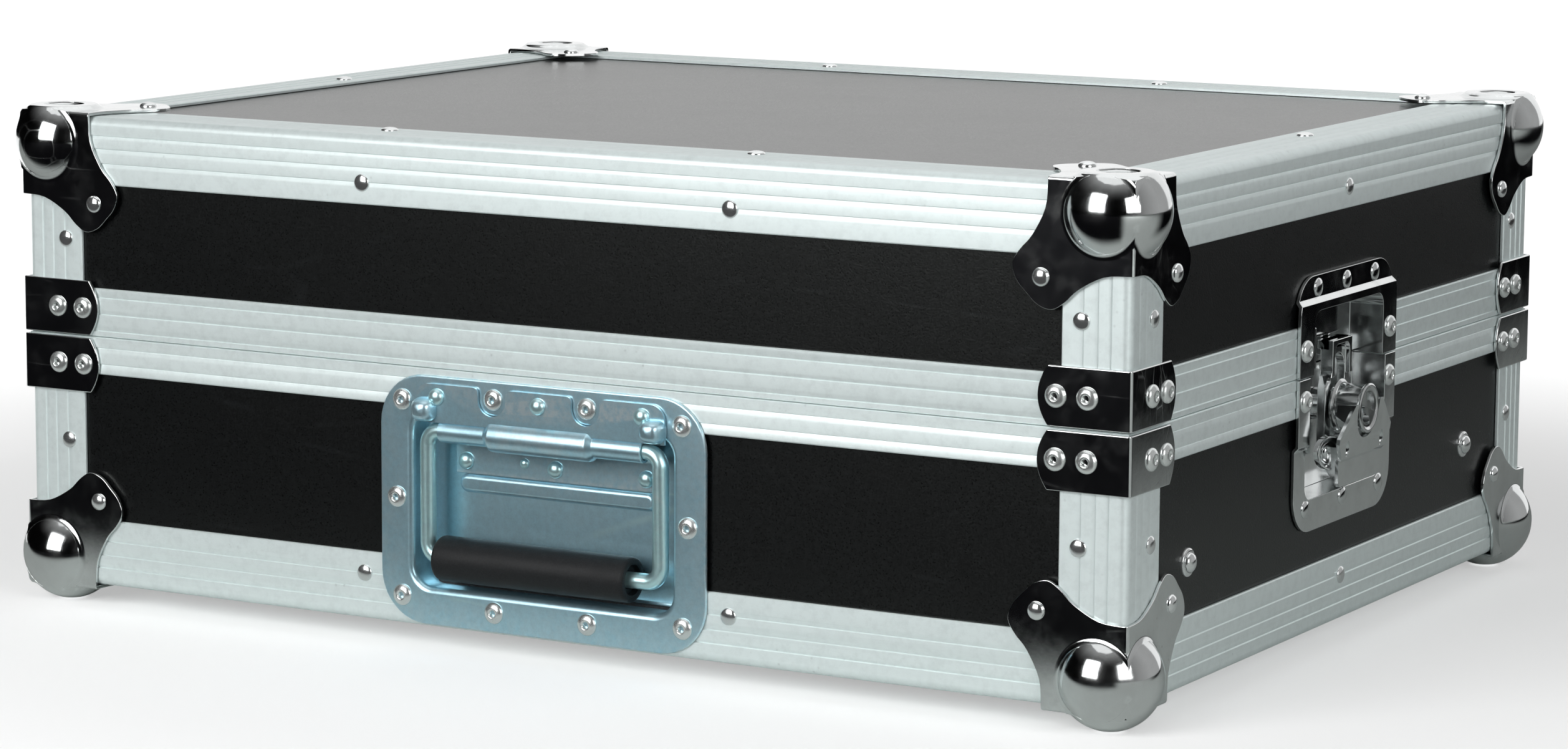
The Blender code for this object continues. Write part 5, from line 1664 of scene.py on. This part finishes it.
def build_fasteners(sizes):
    """All rivets and bolts, in groups of one kind on one body."""
    edge_head = dome(sizes.rivet_radius, 0.0014)
    lobe_head = dome(sizes.rivet_radius, 0.0019)
    pop_head = pop_rivet(sizes.pop_rivet_radius)
    low_head = dome(0.0040, 0.0012)
    washer = [(0.0060, -0.0004), (0.0060, 0.0006), (0.0056, 0.0010), (0.0044, 0.0011)]
    bolt_head = washer + [(radius, 0.0011 + rise) for radius, rise in dome(0.0043, 0.0026, 0.0)]
    groups = []
    for prefix, is_top, brace_v in (("base", False, BRACE_RIVETS_BASE), ("lid", True, BRACE_RIVETS_LID)):
        groups += [
            # The domed rivets take the chrome painted lighter, with its painted brightness.
            (f"{prefix}_edge_rivets", edge_head, edge_rivet_spots(is_top), 24, "rivet_steel", prefix),
            (f"{prefix}_corner_rivets", lobe_head, lobe_rivet_spots(is_top), 24, "rivet_steel", prefix),
            (f"{prefix}_brace_rivets", pop_head, brace_rivet_spots(brace_v), 32, "rivet_aluminium", prefix),
        ]
    pops = [(front, sign * u, v, PLATE_FACE) for u, v in HANDLE_POPS for sign in (-1, 1)]
    domes = row(front, *COVER_DOMES, COVER_W + THIN) + row(front, *STRIP_DOMES, STRIP_FACE)
    stud = [(front, *STRIP_STUD, STRIP_FACE)]
    groups += [
        ("handle_pop_rivets", pop_head, pops, 32, "rivet_aluminium", "base"),
        # The domed rivets and the stud take the zinc painted lighter, with its painted brightness.
        ("handle_dome_rivets", dome(0.0037, 0.0027), domes, 24, "zinc_wire", "base"),
        ("handle_strip_stud", dome(0.0022, 0.0016), stud, 24, "zinc_wire", "base"),
    ]
    for label, sign in SIDES:
        place = side(sign)
        latch = f"{label}_latch"
        lid_pops = row(place, *LATCH_LID_POPS, PLATE_FACE, False)
        base_pops = row(place, *LATCH_BASE_POPS, PLATE_FACE, False)
        top_spots, low_spots = row(place, *LATCH_TOP_RIVETS, 0.0), row(place, *LATCH_LOW_RIVETS, 0.0)
        bolts = [(place, u, v, -PANEL_FACE) for u, v in STRIP_BOLTS]
        groups += [
            (f"{latch}_top_rivets", low_head, top_spots, 24, "latch_chrome", "lid"),
            (f"{latch}_low_rivets", low_head, low_spots, 24, "latch_chrome", "base"),
            (f"{latch}_lid_pops", pop_head, lid_pops, 32, "rivet_aluminium", "lid"),
            (f"{latch}_base_pops", pop_head, base_pops, 32, "rivet_aluminium", "base"),
            # The bolts take the chrome painted lighter, with its painted brightness.
            (f"{label}_strip_bolts", bolt_head, bolts, 36, "rivet_steel", "base"),
        ]
    for name, head, spots, sides, material, body in groups:
        fit(studs(name, head, spots, sides), material, body)


# Linings


def in_fixed_order(shape):
    """A bmesh's vertices and faces sorted by place, because some of its tools leave them in any order."""
    vertices = sorted(tuple(vertex.co) for vertex in shape.verts)
    numbers = {vertex: number for number, vertex in enumerate(vertices)}
    return vertices, sorted([numbers[tuple(vertex.co)] for vertex in face.verts] for face in shape.faces)


def cushion(name, low, high, place, round_by):
    """A foam slab from low to high, with soft edges and slightly sunk, wavy faces."""
    spans = [high[axis] - low[axis] for axis in range(3)]
    thin = spans.index(min(spans))
    slab = bmesh.new()
    bmesh.ops.create_cube(slab, size=1.0)
    for vertex in slab.verts:
        vertex.co = Vector([low[axis] + spans[axis] * (vertex.co[axis] + 0.5) for axis in range(3)])
    bmesh.ops.bevel(slab, geom=slab.edges, offset=round_by, segments=3, profile=0.5, affect="EDGES")
    long_edges = [edge for edge in slab.edges if edge.calc_length() > FOAM_LONG_EDGE]
    bmesh.ops.subdivide_edges(slab, edges=long_edges, cuts=FOAM_CUTS, use_grid_fill=True)
    for vertex in slab.verts:
        shares = [(vertex.co[axis] - low[axis]) / spans[axis] for axis in range(3)]
        others = [shares[axis] for axis in range(3) if axis != thin]
        fade = min(1.0, 12 * min(min(share, 1 - share) for share in others))
        wave = math.sin(37 * vertex.co.x + 11 * vertex.co.z) * math.sin(29 * vertex.co.y + 17 * vertex.co.z)
        inward = -1 if shares[thin] > 0.5 else 1
        vertex.co[thin] += inward * FOAM_WAVE * fade * (0.5 + 0.5 * wave)
        vertex.co = place(*vertex.co)
    vertices, faces = in_fixed_order(slab)
    slab.free()
    return new_piece(name, vertices, faces)


def lining_slabs(prefix, floor_low, floor_high, wall_low, wall_high, sizes):
    """Floor or roof pad and four wall pads, with their sizes in the plan frame."""
    u, v = HALF_WIDTH - LINING_FACE, HALF_DEPTH - LINING_FACE
    inner_u, inner_v = u - FOAM, v - FOAM
    slabs = (
        (f"{prefix}_foam_pad", (-u, -v, floor_low), (u, v, floor_high)),
        (f"{prefix}_foam_front", (-u, -v, wall_low), (u, -inner_v, wall_high)),
        (f"{prefix}_foam_back", (-u, inner_v, wall_low), (u, v, wall_high)),
        (f"{prefix}_foam_left", (-u, -inner_v + FIT, wall_low), (-inner_u, inner_v - FIT, wall_high)),
        (f"{prefix}_foam_right", (inner_u, -inner_v + FIT, wall_low), (u, inner_v - FIT, wall_high)),
    )
    return [cushion(name, low, high, plan, sizes.foam_round) for name, low, high in slabs]


def build_linings(sizes):
    """Foam in base and lid, cut round the dishes and the rack strips."""
    pad_high = LINING_FACE + FOAM
    rim = SPLIT - BASE_RIM_LEG - FIT
    for piece in lining_slabs("base", LINING_FACE, pad_high, pad_high + FIT, rim, sizes):
        if piece.name.endswith("front"):
            cut(piece, handle_room())
        for label, sign in SIDES:
            if piece.name.endswith(label):
                half = HALF_DEPTH - LINING_FACE - FOAM
                relief = square(-half - PAST, half + PAST, STRIP_LOW - FIT, SPLIT)
                cut(piece, prism("relief", relief, -FAR_PAST, FAR_PAST, side(sign)))
        fit(smooth(piece, 60), "cell_foam", "base", ["base_foam"])
    roof = HEIGHT - LINING_FACE
    low = SPLIT + LID_RIM_LEG + FIT
    for piece in lining_slabs("lid", roof - FOAM, roof, low, roof - FOAM - FIT, sizes):
        for label, sign in SIDES:
            if piece.name.endswith(label):
                cut(piece, latch_room(side(sign), True))
        fit(smooth(piece, 60), "cell_foam", "lid", ["lid_foam"])


# Stage


def lay_floor():
    """Pale paper, wide enough to fill the view."""
    rings = []
    for reach in (FLOOR_REACH, 4.0, 1.6, 0.8):
        rings.append([Vector((x * reach, y * reach, 0.0)) for x, y in ((-1, -1), (1, -1), (1, 1), (-1, 1))])
    vertices, faces = joined_rings(rings, has_caps=False)
    faces.append(list(range(len(vertices) - 4, len(vertices))))
    floor = new_piece("floor", vertices, faces)
    if floor.data.polygons[0].normal.z < 0:
        floor.data.flip_normals()
    floor.data.materials.append(bpy.data.materials["floor_paper"])


def hang_cards():
    """Cards that only reflections show: a mat on the ground and a ring of dark curtains."""
    room = []
    for step in range(ROOM_PANELS + 1):
        turn = math.radians(ROOM_START + ROOM_SPAN * step / ROOM_PANELS)
        room.append((ROOM_REACH * math.sin(turn), -ROOM_REACH * math.cos(turn)))
    near, far, low = -HALF_WIDTH - 0.25, ROOM_REACH, 0.001
    outline = ((-far, -far), (far, -far), (far, far), (near, far), (near, 0.0), (-far, 0.0))
    cards = [("ground_mat", "ground_card", [(x, y, low) for x, y in outline])]
    for step, (start, end) in enumerate(zip(room, room[1:])):
        points = [(*start, 0.0), (*end, 0.0), (*end, ROOM_HEIGHT), (*start, ROOM_HEIGHT)]
        cards.append((f"dark_curtain_{step + 1}", "curtain_card", points))
    for name, material, points in cards:
        card = new_piece(name, points, [list(range(len(points)))])
        card.data.materials.append(bpy.data.materials[material])
        card.visible_camera = False
        card.visible_diffuse = False
        card.visible_shadow = False
        card.visible_transmission = False


def hang_lamps(stage):
    """Square softboxes that face the case, as (name, place, width, power)."""
    lamps = (
        ("softbox_left", (-0.45, -2.0, 0.88), 1.25, stage.left_light),
        ("softbox_right", (1.95, -1.25, 0.82), 1.10, stage.right_light),
        ("softbox_top", (0.1, 0.5, 2.2), 2.4, stage.top_light),
    )
    target = Vector((0.0, 0.0, 0.12))
    for name, where, span, power in lamps:
        lamp = bpy.data.lights.new(name, "AREA")
        lamp.shape = "SQUARE"
        lamp.size = span
        lamp.energy = power
        thing = bpy.data.objects.new(name, lamp)
        thing.location = where
        thing.rotation_mode = "QUATERNION"
        thing.rotation_quaternion = (target - Vector(where)).to_track_quat("-Z", "Y")
        thing.visible_camera = False
        bpy.context.scene.collection.objects.link(thing)


def seen_directly(tree):
    """1 for rays from the camera, from gloss and through glass."""
    path = tree.nodes.new("ShaderNodeLightPath")
    seen = maths(tree, "MAXIMUM", path.outputs["Is Camera Ray"], path.outputs["Is Glossy Ray"])
    return maths(tree, "MAXIMUM", seen, path.outputs["Is Transmission Ray"])


def set_world(ambient):
    world = bpy.data.worlds.new("pale_studio")
    world.use_nodes = True
    tree = world.node_tree
    surface = tree.nodes["Background"]
    strength = add_node(tree, "ShaderNodeMapRange", None, Value=seen_directly(tree), i3=ambient, i4=1.0)
    tree.links.new(strength.outputs[0], surface.inputs["Strength"])
    surface.inputs["Color"].default_value = (1.0, 1.0, 1.0, 1.0)
    bpy.context.scene.world = world


def set_camera(focal_length):
    """The photograph's view."""
    lens = bpy.data.cameras.new("photo_camera")
    lens.sensor_width = 36.0
    lens.lens = focal_length
    lens.clip_start = 0.05
    lens.clip_end = 100.0
    camera = bpy.data.objects.new("photo_camera", lens)
    bpy.context.scene.collection.objects.link(camera)
    azimuth, elevation, roll = [math.radians(value) for value in CAMERA_ANGLES]
    level = math.cos(elevation)
    towards = Vector((math.sin(azimuth) * level, -math.cos(azimuth) * level, math.sin(elevation)))
    camera.location = CAMERA_PLACE
    turn = (-towards).to_track_quat("-Z", "Y").to_matrix() @ Matrix.Rotation(roll, 3, "Z")
    camera.rotation_euler = turn.to_euler()
    bpy.context.scene.camera = camera


# Sizes and colours that can be changed


def length_property(label, words, default):
    return FloatProperty(name=label, description=words, default=default, min=0.0, precision=5, unit="LENGTH")


def power_property(label, words, default):
    return FloatProperty(name=label, description=words, default=default, min=0.0, unit="POWER")


def colour_property(label, words, default):
    return FloatVectorProperty(
        name=label, description=words, subtype="COLOR", size=3, min=0.0, max=1.0, default=default
    )


class CaseSizes(bpy.types.PropertyGroup):
    """Sizes of the visible details."""

    edge_round: length_property("Edge Round", "Outer rounding of the angles", 0.0040)
    band_depth: length_property("Band Depth", "Depth of the sunk bands", 0.0005)
    plate_edge: length_property("Plate Edge", "Rounding of corners and braces", 0.0006)
    ball_fillet: length_property("Ball Fillet", "Rounding between ball and plates", 0.0036)
    bend: length_property("Bend", "Outer rounding of bent plates", 0.0016)
    zinc_edge: length_property("Cover Edge", "Rounding of the hinge cover", 0.00058)
    latch_edge: length_property("Latch Edge", "Rounding of the latch pieces", 0.0005)
    dish_fillet: length_property("Dish Fillet", "Rounding of the handle dish", 0.0030)
    foam_round: length_property("Foam Round", "Rounding of the foam pads", 0.0012)
    rivet_radius: length_property("Rivet", "Radius of the domed rivets", 0.0038)
    pop_rivet_radius: length_property("Blind Rivet", "Radius of the blind rivets", 0.0047)


class CaseColours(bpy.types.PropertyGroup):
    """Base colours of the finishes."""

    laminate: colour_property("Laminate", "Textured panels", (0.0028, 0.0031, 0.0034))
    aluminium: colour_property("Aluminium", "Extrusions", (0.76, 0.845, 0.84))
    chrome: colour_property("Chrome", "Corners, braces and latches", (0.74, 0.76, 0.76))
    zinc: colour_property("Zinc", "Handle", (0.46, 0.73, 0.85))
    rubber: colour_property("Rubber", "Sleeve of the handle", (0.010, 0.011, 0.012))
    foam: colour_property("Foam", "Linings", (0.035, 0.036, 0.038))
    steel: colour_property("Steel", "Rack strips", (0.52, 0.54, 0.55))
    floor: colour_property("Floor", "Paper under the case", (0.90, 0.90, 0.90))


class StageSettings(bpy.types.PropertyGroup):
    """Light and lens."""

    lens: FloatProperty(name="Lens", description="Focal length", default=106.37, unit="CAMERA")
    left_light: power_property("Left Light", "Power of the left softbox", 27.0)
    right_light: power_property("Right Light", "Power of the right softbox", 15.0)
    top_light: power_property("Top Light", "Power of the top softbox", 2.5)
    ambient: FloatProperty(name="Ambient", description="Strength of the light from all round", default=0.12)


# Operators, one for each group of pieces


class CASE_OT_finishes(bpy.types.Operator):
    """Make the shader groups and the materials"""

    bl_idname = "flight_case.finishes"
    bl_label = "Finishes"

    def execute(self, context):
        colours = context.scene.case_colours
        for name, make in GROUPS:
            if name not in bpy.data.node_groups:
                make()
        make_laminate(colours.laminate)
        for name, stretch in (
            ("extrusion_x", (9.0, 1300.0, 1300.0)),
            ("extrusion_y", (1300.0, 9.0, 1300.0)),
            ("extrusion_z", (1300.0, 1300.0, 9.0)),
            ("extrusion_rim", (9.0, 9.0, 1300.0)),
        ):
            make_aluminium(name, colours.aluminium, stretch)
        make_chrome("corner_chrome", colours.chrome, 0.07, 0.14, 1.0)
        make_chrome("latch_chrome", colours.chrome, 0.08, 0.15, 0.6)
        make_chrome("spindle_steel", shade(colours.chrome, 0.9), 0.10, 0.22, 0.8)
        # The chrome made 1.1 times lighter, for the domed rivets and the bolts: painted brightness that
        # stands in for the soft light their heads catch.
        make_chrome("rivet_steel", shade(colours.chrome, 1.1), 0.12, 0.24, 0.5, 0.92)
        make_chrome("rivet_aluminium", (0.80, 0.83, 0.82), 0.22, 0.30, 0.2, 0.85)
        make_zinc("blue_zinc", colours.zinc, 0.29, 0.31)
        # The zinc made 1.3 times lighter, for the wire bail, the domed rivets and the stud: the zinc's own
        # colour with painted brightness that stands in for the wire's bright reflections.
        make_zinc("zinc_wire", shade(colours.zinc, 1.3), 0.30, 0.33)
        make_rubber(colours.rubber)
        make_foam(colours.foam)
        make_steel(colours.steel)
        make_floor(colours.floor)
        make_cards()
        return {"FINISHED"}


class CASE_OT_panels(bpy.types.Operator):
    """Finish the laminated panels and the rack strips, whose shapes are the frame's own"""

    bl_idname = "flight_case.panels"
    bl_label = "Panels and Rack Strips"

    def execute(self, context):
        for name in ("base_walls", "base_floor", "lid_walls", "lid_top"):
            dress_node(name, "black_laminate")
        for name in ("rack_strip_left", "rack_strip_right", "handle_spring"):
            dress_node(name, "strip_steel")
        return {"FINISHED"}


class CASE_OT_extrusions(bpy.types.Operator):
    """Build the edge angles and posts"""

    bl_idname = "flight_case.extrusions"
    bl_label = "Edge Extrusions"

    def execute(self, context):
        sizes = context.scene.case_sizes
        build_extrusions("base", False, SPLIT - BASE_RIM_LEG - FIT, sizes)
        build_extrusions("lid", True, HEIGHT - SPLIT - LID_RIM_LEG - FIT, sizes)
        return {"FINISHED"}


class CASE_OT_rims(bpy.types.Operator):
    """Build the closing extrusions with their tongue and groove"""

    bl_idname = "flight_case.rims"
    bl_label = "Closing Extrusions"

    def execute(self, context):
        build_rims(context.scene.case_sizes)
        return {"FINISHED"}


class CASE_OT_ball_corners(bpy.types.Operator):
    """Build the eight ball corners"""

    bl_idname = "flight_case.ball_corners"
    bl_label = "Ball Corners"

    def execute(self, context):
        build_ball_corners(context.scene.case_sizes)
        return {"FINISHED"}


class CASE_OT_braces(bpy.types.Operator):
    """Build the corner braces beside the split"""

    bl_idname = "flight_case.braces"
    bl_label = "Corner Braces"

    def execute(self, context):
        build_braces(context.scene.case_sizes)
        return {"FINISHED"}


class CASE_OT_handle(bpy.types.Operator):
    """Build the handle's plate, hinge cover, bail and sleeve"""

    bl_idname = "flight_case.handle"
    bl_label = "Handle"

    def execute(self, context):
        sizes = context.scene.case_sizes
        build_handle_plate(sizes)
        build_handle_cover(sizes)
        build_bail()
        return {"FINISHED"}


class CASE_OT_latches(bpy.types.Operator):
    """Build both butterfly latches"""

    bl_idname = "flight_case.latches"
    bl_label = "Butterfly Latches"

    def execute(self, context):
        sizes = context.scene.case_sizes
        for label, sign in SIDES:
            place = side(sign)
            build_latch_dish(label, place, sizes)
            build_latch_catch(label, place, sizes)
            build_latch_spindle(label, place)
            build_latch_hook(label, place, sizes)
            build_latch_wing(label, place, sizes)
        return {"FINISHED"}


class CASE_OT_fasteners(bpy.types.Operator):
    """Set all rivets and bolts"""

    bl_idname = "flight_case.fasteners"
    bl_label = "Rivets and Bolts"

    def execute(self, context):
        build_fasteners(context.scene.case_sizes)
        return {"FINISHED"}


class CASE_OT_linings(bpy.types.Operator):
    """Build the foam linings of base and lid"""

    bl_idname = "flight_case.linings"
    bl_label = "Foam Linings"

    def execute(self, context):
        build_linings(context.scene.case_sizes)
        return {"FINISHED"}


class CASE_OT_stage(bpy.types.Operator):
    """Set the floor, lamps, world and camera"""

    bl_idname = "flight_case.stage"
    bl_label = "Stage"

    def execute(self, context):
        stage = context.scene.case_stage
        lay_floor()
        hang_cards()
        hang_lamps(stage)
        set_world(stage.ambient)
        set_camera(stage.lens)
        context.scene.view_settings.view_transform = "Standard"
        return {"FINISHED"}


OPERATORS = (
    CASE_OT_finishes,
    CASE_OT_panels,
    CASE_OT_extrusions,
    CASE_OT_rims,
    CASE_OT_ball_corners,
    CASE_OT_braces,
    CASE_OT_handle,
    CASE_OT_latches,
    CASE_OT_fasteners,
    CASE_OT_linings,
    CASE_OT_stage,
)


class CASE_PT_panel(bpy.types.Panel):
    """Lists the case's steps, sizes, colours and light"""

    bl_idname = "CASE_PT_panel"
    bl_label = "Mixer Flight Case"
    bl_space_type = "VIEW_3D"
    bl_region_type = "UI"
    bl_category = "Flight Case"

    def draw(self, context):
        layout = self.layout
        for operator in OPERATORS:
            layout.operator(operator.bl_idname)
        for group in (context.scene.case_sizes, context.scene.case_colours, context.scene.case_stage):
            box = layout.box()
            for key in group.__annotations__:
                box.prop(group, key)


PROPERTIES = (("case_sizes", CaseSizes), ("case_colours", CaseColours), ("case_stage", StageSettings))


def register():
    for name, group in PROPERTIES:
        bpy.utils.register_class(group)
        setattr(bpy.types.Scene, name, PointerProperty(type=group))
    for operator in OPERATORS:
        bpy.utils.register_class(operator)
    bpy.utils.register_class(CASE_PT_panel)


def unregister():
    bpy.utils.unregister_class(CASE_PT_panel)
    for operator in reversed(OPERATORS):
        bpy.utils.unregister_class(operator)
    for name, group in reversed(PROPERTIES):
        delattr(bpy.types.Scene, name)
        bpy.utils.unregister_class(group)


def main():
    register()
    for operator in OPERATORS:
        group, name = operator.bl_idname.split(".")
        getattr(getattr(bpy.ops, group), name)()


if __name__ == "__main__":
    main()
